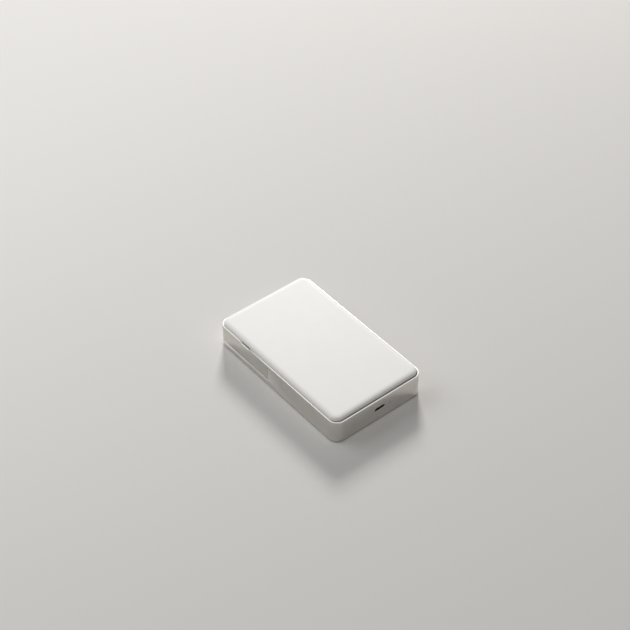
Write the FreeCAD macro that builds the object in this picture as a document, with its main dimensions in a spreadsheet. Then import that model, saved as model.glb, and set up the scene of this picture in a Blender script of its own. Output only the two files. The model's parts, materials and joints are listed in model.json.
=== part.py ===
import FreeCAD, Part
import Sketcher
import math
import os
import re

# Compact photo printer, millimetres.
# X is the width, +Y is the length towards the paper exit, +Z is up.
# The origin is the centre of the footprint, on the surface that the feet stand on.

V = FreeCAD.Vector
doc = FreeCAD.newDocument("compact_photo_printer")
sheet = doc.addObject("Spreadsheet::Sheet", "Sizes")

# Driving sizes
SIZES = {
    # whole case
    "body_width": 75.0, "body_length": 124.0, "lid_top": 20.5, "rim_height": 18.3, "corner_radius": 7.0,
    "wall": 1.6, "foot_stand": 0.5, "base_round": 0.5, "seam_round": 0.1, "rim_chamfer": 0.25,
    "fit_gap": 0.1, "seat_gap": 0.2, "overrun": 1.0,
    # rim and lid seat
    "rim_land": 0.9, "lid_seat_height": 17.6, "lid_seat_gap": 0.15, "hinge_end_gap": 0.8,
    "lid_thickness": 1.2, "lid_skirt": 1.0, "pillow_width": 4.5, "pillow_start": 18.6,
    # rear cap and its seams
    "seam_height": 4.6, "seam_gap": 0.15, "tongue_depth": 1.6, "tongue_thickness": 0.7,
    "tongue_inset": 0.45, "tongue_length": 6.0,
    # finger notch in the rim
    "notch_length": 11.2, "notch_flat": 5.0, "notch_depth": 1.1,
    # ports in the short side
    "usb_height": 10.1, "usb_width": 8.94, "usb_shell_height": 3.26, "usb_depth": 7.3,
    "usb_shell_wall": 0.3, "usb_tongue_width": 6.7, "usb_tongue_thickness": 0.7,
    "usb_tongue_setback": 1.0, "usb_hole_gap": 0.1, "usb_setback": 0.3, "light_x": 8.8,
    "light_height": 9.8, "light_radius": 0.6, "light_depth": 4.0, "light_pad": 1.1,
    # paper exit in the rear cap
    "exit_play": 0.5, "exit_low": 11.3, "exit_high": 14.3,
    # bottom cover, feet and case screws
    "cover_thickness": 1.2, "cover_ledge": 0.8, "foot_radius": 4.0, "foot_recess": 0.4,
    "boss_radius": 2.2, "boss_height": 6.0, "middle_boss_y": 2.0, "screw_radius": 0.8,
    "screw_head_radius": 1.5, "screw_head_height": 0.8, "screw_length": 4.6, "screw_slot_width": 0.4,
    "screw_slot_depth": 0.35,
    # paper tray and its deck
    "tray_floor_top": 10.6, "tray_floor": 1.0, "tray_wall": 1.0, "deck_top": 17.3, "deck_thickness": 0.9,
    "trough_top": 12.9, "trough_floor": 0.8, "hinge_pocket_low": 12.0,
    # hinge
    "hinge_inset": 3.8, "hinge_drop": 1.1, "knuckle_radius": 0.9, "knuckle_width": 4.0,
    "ear_width": 1.4, "hinge_side_gap": 0.15, "pin_radius": 0.45, "pin_play": 0.05, "bracket_foot": 0.9,
    "bracket_depth": 3.4, "bracket_start": 1.0, "upright_start": 1.6, "upright_depth": 2.0,
    "arm_pad_depth": 6.5, "arm_pad_thickness": 0.9,
    # lid inside
    "liner_bottom": 17.9, "magnet_radius": 2.0, "magnet_height": 1.0, "catch_width": 5.0,
    "catch_length": 8.0, "catch_thickness": 0.5, "plate_length": 24.0, "plate_bottom": 11.4,
    "plate_thickness": 1.2, "plate_travel": 2.2, "slider_radius": 1.2, "slider_wall": 0.8,
    "slider_length": 4.3, "slider_from_side": 4.0, "plate_spring_from_side": 9.5,
    "plate_spring_radius": 2.6, "plate_spring_wire": 0.35,
    # mechanism frame
    "frame_sheet": 0.8, "frame_shelf": 3.2, "frame_mid_height": 12.6, "frame_high": 15.9,
    "cover_post": 2.2, "bridge_thickness": 0.7, "mech_cover_thickness": 0.7, "mech_cover_top": 17.4,
    # rollers
    "platen_height": 8.4, "platen_radius": 3.6, "pickup_height": 7.8, "pickup_radius": 3.2,
    "pickup_x": 14.0, "pickup_tyre_width": 12.0, "shaft_radius": 1.0, "shaft_play": 0.05,
    "gear_bore_play": 0.02, "bush_radius": 1.8, "bush_flange_radius": 2.5, "bush_flange": 0.6,
    "window_gap": 0.5,
    # gears
    "gear_module": 0.3, "gear_width": 2.0, "gear_gap": 0.3, "gear_backlash": 0.08, "pinion_teeth": 12,
    "reduction_teeth": 26, "platen_teeth": 30, "pickup_teeth": 28, "idler_teeth": 24, "post_radius": 0.75,
    "post_head_radius": 1.3, "post_head": 0.4,
    # motor
    "motor_height": 6.4, "motor_radius": 4.0, "motor_length": 22.0, "motor_shaft_radius": 0.5,
    "motor_boss_radius": 1.5, "motor_boss": 0.6,
    # thermal head
    "head_gap": 0.08, "strip_thickness": 0.7, "strip_length": 10.0, "sink_thickness": 1.4,
    "lug_half": 1.3, "head_pivot_radius": 0.7, "head_side_gap": 0.5, "head_spring_x": 16.0,
    "head_spring_radius": 1.8, "head_spring_wire": 0.3,
    # paper guide and sensor flag
    "guide_rise": 1.1, "guide_thickness": 0.8, "guide_leg": 2.0, "guide_leg_inner_x": 4.0, "flag_x": 6.0,
    "flag_height": 8.6, "flag_pin_radius": 0.5, "flag_width": 1.6, "flag_tip": 3.4, "flag_tail": 3.6,
    "flag_hub": 1.0, "flag_arm": 1.2, "flag_slot_front": 0.9, "flag_slot_rear": 3.4, "lug_thickness": 1.0,
    "sensor_width": 9.0, "sensor_length": 8.0, "sensor_height": 3.6, "sensor_arm": 1.4,
    "sensor_slot": 1.4,
    # electronics and battery
    "board_thickness": 0.8, "chip_height": 0.8, "chip_size": 7.0, "module_width": 12.0,
    "module_length": 16.0, "switch_width": 6.0, "switch_depth": 3.2, "switch_height": 3.0,
    "button_length": 9.0, "button_height": 2.6, "button_travel": 0.4, "button_plate": 0.9,
    "button_z": 10.2, "button_gap": 0.1, "button_flange": 0.8, "button_stem": 1.0, "battery_height": 6.4,
    "lead_radius": 0.5, "lead_pitch": 1.5, "plug_width": 5.0, "plug_length": 3.5, "plug_height": 2.2,
    "flex_width": 3.2, "flex_thickness": 0.15, "flex_low": 10.6, "tray_leg_radius": 1.8,
    "tray_leg_y": 2.0, "exit_shelf": 3.0, "exit_shelf_thickness": 1.0, "tooth_tip_share": 0.46,
    "tooth_root_share": 1.3, "addendum_share": 0.9, "dedendum_share": 1.25, "boss_web": 2.4,
    "screw_slot_share": 0.8, "wide_gap": 0.3, "cut_over": 0.25, "flex_fold": 2.0, "foot_bevel_share": 0.33,
    "catch_share": 0.8, "liner_screw_share": 0.9, "module_x_share": 0.62, "module_y_share": 0.4,
    "boss_inset": 1.8,
    # how far the inner pieces lie in from the nearer end of the case
    "front_boss_y_from_end": 12.0, "foot_y_from_end": 13.0, "tray_front_from_end": 10.6,
    "liner_front_from_end": 14.0, "magnet_y_from_end": 10.0, "board_front_from_end": 2.4,
    "board_rear_from_end": 40.0, "board_front_post_y_from_end": 7.0, "board_rear_post_y_from_end": 36.5,
    "switch_y_from_end": 32.0, "battery_front_from_end": 43.0, "flex_start_from_end": 38.0,
    "tray_rear_from_end": 36.0, "plate_y_from_end": 50.0, "frame_front_from_end": 48.0,
    "frame_rear_from_end": 5.0, "frame_step_y_from_end": 26.0, "front_bar_end_from_end": 39.5,
    "rear_bar_start_from_end": 15.0, "rear_bar_end_from_end": 6.6, "front_post_y_from_end": 44.0,
    "rear_post_y_from_end": 8.6, "bridge_front_from_end": 18.0, "bridge_rear_from_end": 6.0,
    "platen_y_from_end": 12.0, "pickup_y_from_end": 42.0, "motor_y_from_end": 21.5,
    "strip_front_from_end": 17.0, "sink_front_from_end": 17.4, "sink_rear_from_end": 5.6,
    "head_pivot_y_from_end": 19.0, "head_spring_y_from_end": 10.0, "guide_end_from_end": 16.4,
    "flag_y_from_end": 31.0, "battery_rear_from_end": 51.0, "notch_y_from_end": 29.6,
    "seam_y_from_end": 54.3,
    # how far the inner pieces lie in from its long sides
    "rear_boss_x_from_side": 15.5, "foot_x_from_side": 10.5, "tray_half_width_from_side": 11.1,
    "trough_half_width_from_side": 4.5, "hinge_x_from_side": 15.5, "magnet_x_from_side": 5.5,
    "plate_half_width_from_side": 15.5, "frame_half_width_from_side": 7.1, "post_x_from_side": 12.5,
    "platen_half_length_from_side": 10.5, "guide_half_width_from_side": 10.1,
    "guide_leg_x_from_side": 13.5, "lug_x_from_side": 13.5, "board_half_width_from_side": 6.5,
    "board_post_x_from_side": 11.0, "battery_half_width_from_side": 11.5,
}

for row, (alias, size) in enumerate(SIZES.items(), start=1):
    sheet.set("A%d" % row, alias)
    sheet.set("B%d" % row, str(size))
    sheet.setAlias("B%d" % row, alias)
doc.recompute()

# Places that follow from the driving sizes, as formulas over the sheet's names
DERIVED = {
    "half_width": "body_width / 2",
    "half_length": "body_length / 2",
    "inner_x": "half_width - wall",
    "inner_y": "half_length - wall",
    "front_boss_y": "half_length - front_boss_y_from_end",
    "foot_y": "half_length - foot_y_from_end",
    "tray_front": "half_length - tray_front_from_end",
    "liner_front": "half_length - liner_front_from_end",
    "magnet_y": "half_length - magnet_y_from_end",
    "board_front": "half_length - board_front_from_end",
    "board_rear": "half_length - board_rear_from_end",
    "board_front_post_y": "half_length - board_front_post_y_from_end",
    "board_rear_post_y": "half_length - board_rear_post_y_from_end",
    "switch_y": "half_length - switch_y_from_end",
    "battery_front": "half_length - battery_front_from_end",
    "flex_start": "half_length - flex_start_from_end",
    "tray_rear": "half_length - tray_rear_from_end",
    "plate_y": "half_length - plate_y_from_end",
    "frame_front": "half_length - frame_front_from_end",
    "frame_rear": "half_length - frame_rear_from_end",
    "frame_step_y": "half_length - frame_step_y_from_end",
    "front_bar_end": "half_length - front_bar_end_from_end",
    "rear_bar_start": "half_length - rear_bar_start_from_end",
    "rear_bar_end": "half_length - rear_bar_end_from_end",
    "front_post_y": "half_length - front_post_y_from_end",
    "rear_post_y": "half_length - rear_post_y_from_end",
    "bridge_front": "half_length - bridge_front_from_end",
    "bridge_rear": "half_length - bridge_rear_from_end",
    "platen_y": "half_length - platen_y_from_end",
    "pickup_y": "half_length - pickup_y_from_end",
    "motor_y": "half_length - motor_y_from_end",
    "strip_front": "half_length - strip_front_from_end",
    "sink_front": "half_length - sink_front_from_end",
    "sink_rear": "half_length - sink_rear_from_end",
    "head_pivot_y": "half_length - head_pivot_y_from_end",
    "head_spring_y": "half_length - head_spring_y_from_end",
    "guide_end": "half_length - guide_end_from_end",
    "flag_y": "half_length - flag_y_from_end",
    "battery_rear": "half_length - battery_rear_from_end",
    "notch_y": "half_length - notch_y_from_end",
    "seam_y": "half_length - seam_y_from_end",
    "rear_boss_x": "half_width - rear_boss_x_from_side",
    "foot_x": "half_width - foot_x_from_side",
    "tray_half_width": "half_width - tray_half_width_from_side",
    "trough_half_width": "half_width - trough_half_width_from_side",
    "hinge_x": "half_width - hinge_x_from_side",
    "magnet_x": "half_width - magnet_x_from_side",
    "plate_half_width": "half_width - plate_half_width_from_side",
    "slider_x": "plate_half_width - slider_from_side",
    "plate_spring_x": "plate_half_width - plate_spring_from_side",
    "frame_half_width": "half_width - frame_half_width_from_side",
    "post_x": "half_width - post_x_from_side",
    "platen_half_length": "half_width - platen_half_length_from_side",
    "guide_half_width": "half_width - guide_half_width_from_side",
    "guide_leg_x": "half_width - guide_leg_x_from_side",
    "lug_x": "half_width - lug_x_from_side",
    "board_half_width": "half_width - board_half_width_from_side",
    "board_post_x": "half_width - board_post_x_from_side",
    "battery_half_width": "half_width - battery_half_width_from_side",
    "exit_width": "2 * (platen_half_length + exit_play)",
    "cover_top": "foot_stand + cover_thickness",
    "boss_top": "cover_top + boss_height",
    "lid_half_width": "half_width - rim_land - fit_gap",
    "lid_rear": "half_length - rim_land - fit_gap",
    "lid_corner": "corner_radius - rim_land - fit_gap",
    "lid_under": "lid_top - lid_thickness",
    "hinge_y": "-half_length + hinge_inset",
    "hinge_height": "lid_under - hinge_drop",
    "hinge_side": "knuckle_width / 2 + hinge_side_gap",
    "bracket_side": "hinge_side + ear_width",
    "tray_outer_x": "tray_half_width + tray_wall",
    "tray_under": "tray_floor_top - tray_floor",
    "deck_under": "deck_top - deck_thickness",
    "deck_x": "inner_x - seat_gap",
    "deck_y": "inner_y - seat_gap",
    "rear_boss_y": "inner_y - boss_radius - fit_gap",
    "middle_boss_x": "inner_x - boss_inset",
    "frame_inner_x": "frame_half_width - frame_sheet",
    "gear_inner_x": "frame_half_width + gear_gap",
    "gear_outer_x": "gear_inner_x + gear_width",
    "far_gear_inner_x": "gear_outer_x + gear_gap",
    "far_gear_outer_x": "far_gear_inner_x + gear_width",
    "shaft_end": "gear_outer_x + gear_gap / 2",
    "bridge_under": "frame_high",
    "bridge_top": "frame_high + bridge_thickness",
    "strip_low": "platen_height + platen_radius + head_gap",
    "strip_high": "strip_low + strip_thickness",
    "sink_high": "strip_high + sink_thickness",
    "pivot_z": "strip_high + sink_thickness / 2",
    "sink_x": "frame_inner_x - head_side_gap",
    "board_top": "usb_height - usb_shell_height / 2",
    "board_low": "board_top - board_thickness",
    "usb_front": "half_length - usb_setback",
    "plate_top": "plate_bottom + plate_thickness",
    "button_back": "inner_x - fit_gap - button_plate",
    "leg_x": "deck_x - tray_leg_radius",
    "mech_front": "tray_rear + seat_gap",
    "mech_cover_low": "mech_cover_top - mech_cover_thickness",
    "liner_top": "lid_under",
    "liner_x": "lid_half_width - lid_skirt - fit_gap",
    "liner_rear": "lid_rear - lid_skirt - fit_gap",
    "pinion_r": "gear_module * pinion_teeth / 2",
    "reduction_r": "gear_module * reduction_teeth / 2",
    "platen_r": "gear_module * platen_teeth / 2",
    "pickup_r": "gear_module * pickup_teeth / 2",
    "idler_r": "gear_module * idler_teeth / 2",
    # the reduction gear meets the motor pinion and the platen gear
    "mesh_one": "pinion_r + reduction_r + gear_backlash",
    "mesh_two": "pinion_r + platen_r + gear_backlash",
    "drive_y": "platen_y - motor_y",
    "drive_z": "platen_height - motor_height",
    "drive_line": "sqrt(drive_y^2 + drive_z^2)",
    "drive_along": "(mesh_one^2 - mesh_two^2 + drive_line^2) / (2 * drive_line)",
    "drive_aside": "sqrt(mesh_one^2 - drive_along^2)",
    "reduction_y": "motor_y + (drive_along * drive_y - drive_aside * drive_z) / drive_line",
    "reduction_z": "motor_height + (drive_along * drive_z + drive_aside * drive_y) / drive_line",
    # three idlers carry the platen's turn to the pickup roller
    "feed_y": "platen_y - pickup_y",
    "feed_z": "platen_height - pickup_height",
    "feed_line": "sqrt(feed_y^2 + feed_z^2)",
    "first_mesh": "pickup_r + idler_r + gear_backlash",
    "last_mesh": "platen_r + idler_r + gear_backlash",
    "idler_mesh": "2 * idler_r + gear_backlash",
    "idler_gap": "feed_line - first_mesh - last_mesh",
    "idler_lift": "sqrt(idler_mesh^2 - idler_gap^2 / 4)",
    "idler_one_y": "pickup_y + first_mesh * feed_y / feed_line",
    "idler_one_z": "pickup_height + first_mesh * feed_z / feed_line",
    "idler_three_y": "platen_y - last_mesh * feed_y / feed_line",
    "idler_three_z": "platen_height - last_mesh * feed_z / feed_line",
    "idler_two_y": "(idler_one_y + idler_three_y) / 2 - idler_lift * feed_z / feed_line",
    "idler_two_z": "(idler_one_z + idler_three_z) / 2 + idler_lift * feed_y / feed_line",
}
WORD = re.compile(r"[A-Za-z_]\w*")


def formula(text):
    """Write a formula over the names above as one over the sheet's cells."""
    def swap(found):
        word = found.group(0)
        if word in DERIVED:
            return "(" + formula(DERIVED[word]) + ")"
        if word in SIZES:
            return "Sizes." + word
        return word
    return WORD.sub(swap, str(text))


def read(alias):
    """A size as a number, for shapes that come from a formula."""
    if alias in DERIVED:
        return amount(alias)
    return float(sheet.get(alias))


def bind(item, prop, text):
    item.setExpression(prop, formula(text))


# A loose point whose place is tied to a formula to learn what the formula comes to
ruler = doc.addObject("Part::Vertex", "ruler")


def amount(text):
    """A formula's present value, as the first guess of a sketch."""
    bind(ruler, "X", text)
    ruler.recompute()
    return float(ruler.X)


def place(item, x, y, z):
    """Tie an object's place to formulas over the sheet."""
    for axis, text in zip("xyz", (x, y, z)):
        bind(item, "Placement.Base." + axis, text)


AXIS_TURN = {
    "X": FreeCAD.Rotation(V(0, 1, 0), 90),
    "Y": FreeCAD.Rotation(V(1, 0, 0), -90),
    "Z": FreeCAD.Rotation(),
}


class Piece:
    """One sub-part: a PartDesign body, with a short call for each kind of feature."""

    def __init__(self, name):
        self.name = name
        self.body = doc.addObject("PartDesign::Body", name)
        self.body.Label = name
        self.body.AllowCompound = True
        self.count = 0
        NODES.append(self.body)

    def new(self, kind, word):
        self.count += 1
        return self.body.newObject(kind, "%s_%s_%d" % (self.name, word, self.count))

    def box(self, low, high, cut=False):
        """A block between two corners, each given as three formulas."""
        block = self.new("PartDesign::SubtractiveBox" if cut else "PartDesign::AdditiveBox", "block")
        for prop, a, b in zip(("Length", "Width", "Height"), low, high):
            bind(block, prop, "(%s) - (%s)" % (b, a))
        place(block, *low)
        return block

    def rod(self, axis, start, end, centre, radius, cut=False):
        """A cylinder along an axis from start to end; centre holds the other two places."""
        kind = "PartDesign::SubtractiveCylinder" if cut else "PartDesign::AdditiveCylinder"
        bar = self.new(kind, "rod")
        bind(bar, "Radius", radius)
        bind(bar, "Height", "(%s) - (%s)" % (end, start))
        bar.Placement = FreeCAD.Placement(V(), AXIS_TURN[axis])
        spot = {"X": (start,) + tuple(centre), "Y": (centre[0], start, centre[1]),
                "Z": tuple(centre) + (start,)}[axis]
        place(bar, *spot)
        return bar

    def slab(self, half_x, back_y, front_y, radius, low, high, cut=False):
        """A plate with round corners, from y = -front_y to y = back_y."""
        sketch = self.new("Sketcher::SketchObject", "outline")
        sketch.AttachmentSupport = [(origin_plane(self.body, "XY_Plane"), "")]
        sketch.MapMode = "FlatFace"
        bind(sketch, "AttachmentOffset.Base.z", high if cut else low)
        round_rectangle(sketch, half_x, back_y, front_y, radius)
        feature = self.new("PartDesign::Pocket" if cut else "PartDesign::Pad", "plate")
        feature.Profile = sketch
        bind(feature, "Length", "(%s) - (%s)" % (high, low))
        doc.recompute()
        return feature

    def outline(self, role, points, start, depth, cut=False):
        """A straight-edged profile on an origin plane, drawn out along its normal."""
        sketch = self.new("Sketcher::SketchObject", "profile")
        sketch.AttachmentSupport = [(origin_plane(self.body, role), "")]
        sketch.MapMode = "FlatFace"
        bind(sketch, "AttachmentOffset.Base.z", start)
        polygon(sketch, points)
        feature = self.new("PartDesign::Pocket" if cut else "PartDesign::Pad", "profile_solid")
        feature.Profile = sketch
        bind(feature, "Length", depth)
        doc.recompute()
        return feature

    def edges(self, kind, size, chosen):
        """A fillet or chamfer on the edges that a test picks."""
        doc.recompute()
        tip = self.body.Tip
        names = ["Edge%d" % (i + 1) for i, edge in enumerate(tip.Shape.Edges) if chosen(edge)]
        feature = self.new("PartDesign::" + kind, kind.lower())
        feature.Base = (tip, names)
        bind(feature, "Radius" if kind == "Fillet" else "Size", size)
        doc.recompute()
        return feature


NODES = []


def origin_plane(body, role):
    return next(item for item in body.Origin.OriginFeatures if item.Role == role)


def pin_point(sketch, index, end, x, y):
    """Hold one end of a sketch line at a place given by two formulas."""
    for kind, text in (("DistanceX", x), ("DistanceY", y)):
        spot = sketch.addConstraint(Sketcher.Constraint(kind, -1, 1, index, end, amount(text)))
        bind(sketch, "Constraints[%d]" % spot, text)


def polygon(sketch, points):
    """A closed outline through points given as pairs of formulas."""
    count = len(points)
    ring = [V(amount(x), amount(y), 0) for x, y in points]
    for i in range(count):
        sketch.addGeometry(Part.LineSegment(ring[i], ring[(i + 1) % count]), False)
    for i in range(count):
        sketch.addConstraint(Sketcher.Constraint("Coincident", i, 2, (i + 1) % count, 1))
    for i, (x, y) in enumerate(points):
        pin_point(sketch, i, 1, x, y)


def round_rectangle(sketch, half_x, back_y, front_y, radius):
    """Four sides and four tangent corner arcs, tied to formulas."""
    w, b, f, r = (amount(text) for text in (half_x, back_y, front_y, radius))
    corners = ((w - r, b - r, 0.0), (-w + r, b - r, 0.5), (-w + r, -f + r, 1.0), (w - r, -f + r, 1.5))
    for x, y, turn in corners:
        circle = Part.Circle(V(x, y, 0), V(0, 0, 1), r)
        start = turn * math.pi
        sketch.addGeometry(Part.ArcOfCircle(circle, start, start + math.pi / 2), False)
    for i in range(4):
        here = sketch.Geometry[i].EndPoint
        there = sketch.Geometry[(i + 1) % 4].StartPoint
        sketch.addGeometry(Part.LineSegment(here, there), False)
    for i in range(4):
        sketch.addConstraint(Sketcher.Constraint("Tangent", i, 2, 4 + i, 1))
        sketch.addConstraint(Sketcher.Constraint("Tangent", 4 + i, 2, (i + 1) % 4, 1))
    for line, kind in ((4, "Horizontal"), (5, "Vertical"), (6, "Horizontal"), (7, "Vertical")):
        sketch.addConstraint(Sketcher.Constraint(kind, line))
    for i in range(1, 4):
        sketch.addConstraint(Sketcher.Constraint("Equal", 0, i))
    size = sketch.addConstraint(Sketcher.Constraint("Radius", 0, r))
    bind(sketch, "Constraints[%d]" % size, radius)
    far = ("%s - (%s)" % (half_x, radius), "%s - (%s)" % (back_y, radius))
    near = ("(%s) - (%s)" % (radius, half_x), "(%s) - (%s)" % (radius, front_y))
    pin_point(sketch, 0, 3, *far)
    pin_point(sketch, 2, 3, *near)


def sides(*xs):
    """The same place on the left and on the right."""
    return [("-(%s)" % x) for x in xs] + list(xs)


def pill(piece, start, end, x, z, half_x, half_z, cut=False):
    """A bar along Y whose section is a lying pill, about x and z."""
    straight = "(%s) - (%s)" % (half_x, half_z)
    piece.box(("(%s) - (%s)" % (x, straight), start, "(%s) - (%s)" % (z, half_z)),
              ("(%s) + (%s)" % (x, straight), end, "(%s) + (%s)" % (z, half_z)), cut)
    for side in ("-", "+"):
        piece.rod("Y", start, end, ("(%s) %s (%s)" % (x, side, straight), z), half_z, cut)


def side_pill(piece, start, end, y, z, half_y, half_z, cut=False):
    """The same along X, about y and z."""
    straight = "(%s) - (%s)" % (half_y, half_z)
    piece.box((start, "(%s) - (%s)" % (y, straight), "(%s) - (%s)" % (z, half_z)),
              (end, "(%s) + (%s)" % (y, straight), "(%s) + (%s)" % (z, half_z)), cut)
    for side in ("-", "+"):
        piece.rod("X", start, end, ("(%s) %s (%s)" % (y, side, straight), z), half_z, cut)


def at_height(edge, height):
    box = edge.BoundBox
    return abs(box.ZMin - height) < NEAR and abs(box.ZMax - height) < NEAR


NEAR = 1e-4
OUT_X = "half_width + overrun"
OUT_Y = "half_length + overrun"


def wall_ring(piece, low, base_size):
    """The upright wall with round corners, and the seat for the lid cut into its top."""
    piece.slab("half_width", "half_length", "half_length", "corner_radius", low, "rim_height")
    top = read("rim_height")
    piece.edges("Chamfer", "rim_chamfer", lambda edge: at_height(edge, top))
    bottom = piece.body.Tip.Shape.BoundBox.ZMin
    piece.edges("Fillet", base_size, lambda edge: at_height(edge, bottom))
    piece.slab("inner_x", "inner_y", "inner_y", "corner_radius - wall", "%s - overrun" % low,
               "rim_height + overrun", cut=True)
    piece.slab("half_width - rim_land", "half_length - rim_land", "half_length - rim_land",
               "corner_radius - rim_land", "lid_seat_height", "rim_height + overrun", cut=True)


# Side wall band: full height at the port end, a low lip round the rear
def make_main_band():
    band = Piece("main_band")
    wall_ring(band, "foot_stand", "base_round")
    rise = "seam_height"
    band.box(("-(%s)" % OUT_X, "seam_y", rise), (OUT_X, OUT_Y, "rim_height + overrun"), cut=True)
    band.slab("half_width - cover_ledge", "half_length - cover_ledge", "half_length - cover_ledge",
              "corner_radius - cover_ledge", "foot_stand - overrun", "cover_top", cut=True)
    for x in sides("middle_boss_x"):
        for y in ("-front_boss_y", "-middle_boss_y"):
            band.rod("Z", "cover_top", "boss_top", (x, y), "boss_radius")
            band.rod("Z", "cover_top - overrun", "cover_top + screw_length", (x, y),
                     "screw_radius + pin_play", cut=True)
    # room for the lid's front edge to swing down inside the wall
    corner_x, corner_y = "half_width - corner_radius", "-(half_length - corner_radius)"
    band.box(("-(%s)" % corner_x, "-half_length + rim_land", "hinge_pocket_low"),
             (corner_x, "-inner_y + overrun", "lid_seat_height + overrun"), cut=True)
    for x, start in ((corner_x, 270), ("-(%s)" % corner_x, 180)):
        scoop = band.rod("Z", "hinge_pocket_low", "lid_seat_height + overrun", (x, corner_y),
                         "corner_radius - rim_land", cut=True)
        scoop.Angle = 90
        scoop.Placement = FreeCAD.Placement(scoop.Placement.Base, FreeCAD.Rotation(V(0, 0, 1), start))
    pill(band, "-(%s)" % OUT_Y, "-inner_y + overrun", "0", "usb_height",
         "usb_width / 2 + usb_hole_gap", "usb_shell_height / 2 + usb_hole_gap", cut=True)
    band.rod("Y", "-(%s)" % OUT_Y, "-inner_y + overrun", ("light_x", "light_height"), "light_radius",
             cut=True)
    side_pill(band, "inner_x - overrun", OUT_X, "-switch_y", "button_z",
              "button_length / 2 + button_gap", "button_height / 2 + button_gap", cut=True)


# Rear cap: the U-shaped wall above the lip, with the finger notch and the paper exit
def make_rear_cap():
    cap = Piece("rear_cap")
    low = "seam_height + seam_gap"
    wall_ring(cap, low, "seam_round")
    cap.box(("-(%s)" % OUT_X, "-(%s)" % OUT_Y, "seam_height - overrun"),
            (OUT_X, "seam_y + seam_gap", "rim_height + overrun"), cut=True)
    # tongues that locate the cap inside the lip
    for x in sides("inner_x - tongue_inset"):
        for y in ("seam_y + seam_gap + tongue_length", "half_length - corner_radius - tongue_length"):
            cap.box(("%s - tongue_thickness / 2" % x, "%s - tongue_length / 2" % y,
                     "seam_height - tongue_depth"),
                    ("%s + tongue_thickness / 2" % x, "%s + tongue_length / 2" % y,
                     "seam_height + tongue_depth"))
    for x in ("-inner_x - overrun / 2", "inner_x - tongue_inset * 2"):
        for y in ("seam_y + seam_gap + tongue_length", "half_length - corner_radius - tongue_length"):
            cap.box((x, "%s - tongue_length / 2" % y, "seam_height + seam_gap"),
                    ("%s + overrun / 2 + tongue_inset * 2" % x, "%s + tongue_length / 2" % y,
                     "seam_height + tongue_depth"))
    for x in sides("rear_boss_x"):
        cap.rod("Z", "cover_top", "boss_top", (x, "rear_boss_y"), "boss_radius")
        cap.box(("%s - boss_web / 2" % x, "rear_boss_y", low),
                ("%s + boss_web / 2" % x, "inner_y + wall / 2", "boss_top"))
        cap.rod("Z", "cover_top - overrun", "cover_top + screw_length", (x, "rear_boss_y"),
                "screw_radius + pin_play", cut=True)
    # shelf that carries the sheet out through the exit
    cap.box(("-exit_width / 2", "inner_y - exit_shelf", "exit_low - exit_shelf_thickness"),
            ("exit_width / 2", "inner_y + wall / 2", "exit_low"))
    cap.box(("-exit_width / 2", "inner_y - overrun", "exit_low"), ("exit_width / 2", OUT_Y, "exit_high"),
            cut=True)
    # the notch across the rim on the left side has a flat floor between two arcs
    run = "((notch_length - notch_flat) / 2)"
    arc = "((%s^2 + notch_depth^2) / (2 * notch_depth))" % run
    floor = "rim_height - notch_depth"
    for y in ("notch_y - notch_flat / 2", "notch_y + notch_flat / 2"):
        cap.rod("X", "-(%s)" % OUT_X, "-inner_x + overrun", (y, "%s + %s" % (floor, arc)), arc, cut=True)
    cap.box(("-(%s)" % OUT_X, "notch_y - notch_flat / 2", floor),
            ("-inner_x + overrun", "notch_y + notch_flat / 2", "rim_height + overrun"), cut=True)


# Bottom cover with posts for the frame and the board
def make_bottom_cover():
    cover = Piece("bottom_cover")
    cover.slab("half_width - cover_ledge - fit_gap", "half_length - cover_ledge - fit_gap",
               "half_length - cover_ledge - fit_gap", "corner_radius - cover_ledge - fit_gap",
               "foot_stand", "cover_top")
    for x in sides("post_x"):
        for y in ("front_post_y", "rear_post_y"):
            cover.rod("Z", "cover_top", "frame_shelf", (x, y), "cover_post")
            cover.rod("Z", "foot_stand + cover_thickness / 2", "frame_shelf + overrun", (x, y),
                      "screw_radius + pin_play", cut=True)
    for x in sides("board_post_x"):
        for y in ("-board_front_post_y", "-board_rear_post_y"):
            cover.rod("Z", "cover_top", "board_low", (x, y), "cover_post")
            cover.rod("Z", "cover_top + overrun", "board_low + overrun", (x, y),
                      "screw_radius + pin_play", cut=True)
    for x, y in case_screw_places():
        cover.rod("Z", "foot_stand - overrun", "foot_stand + screw_head_height", (x, y),
                  "screw_head_radius + fit_gap", cut=True)
        cover.rod("Z", "foot_stand - overrun", "cover_top + overrun", (x, y), "screw_radius + fit_gap",
                  cut=True)
    for x in sides("foot_x"):
        for y in sides("foot_y"):
            cover.rod("Z", "foot_stand - overrun", "foot_stand + foot_recess", (x, y),
                      "foot_radius + fit_gap", cut=True)


def case_screw_places():
    places = [(x, y) for x in sides("middle_boss_x") for y in ("-front_boss_y", "-middle_boss_y")]
    return places + [(x, "rear_boss_y") for x in sides("rear_boss_x")]


GROUND = 0.0


def make_rubber_feet():
    feet = Piece("rubber_feet")
    for x in sides("foot_x"):
        for y in sides("foot_y"):
            feet.rod("Z", "0", "foot_stand + foot_recess", (x, y), "foot_radius")
    feet.edges("Chamfer", "foot_stand * foot_bevel_share", lambda edge: at_height(edge, GROUND))


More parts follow.
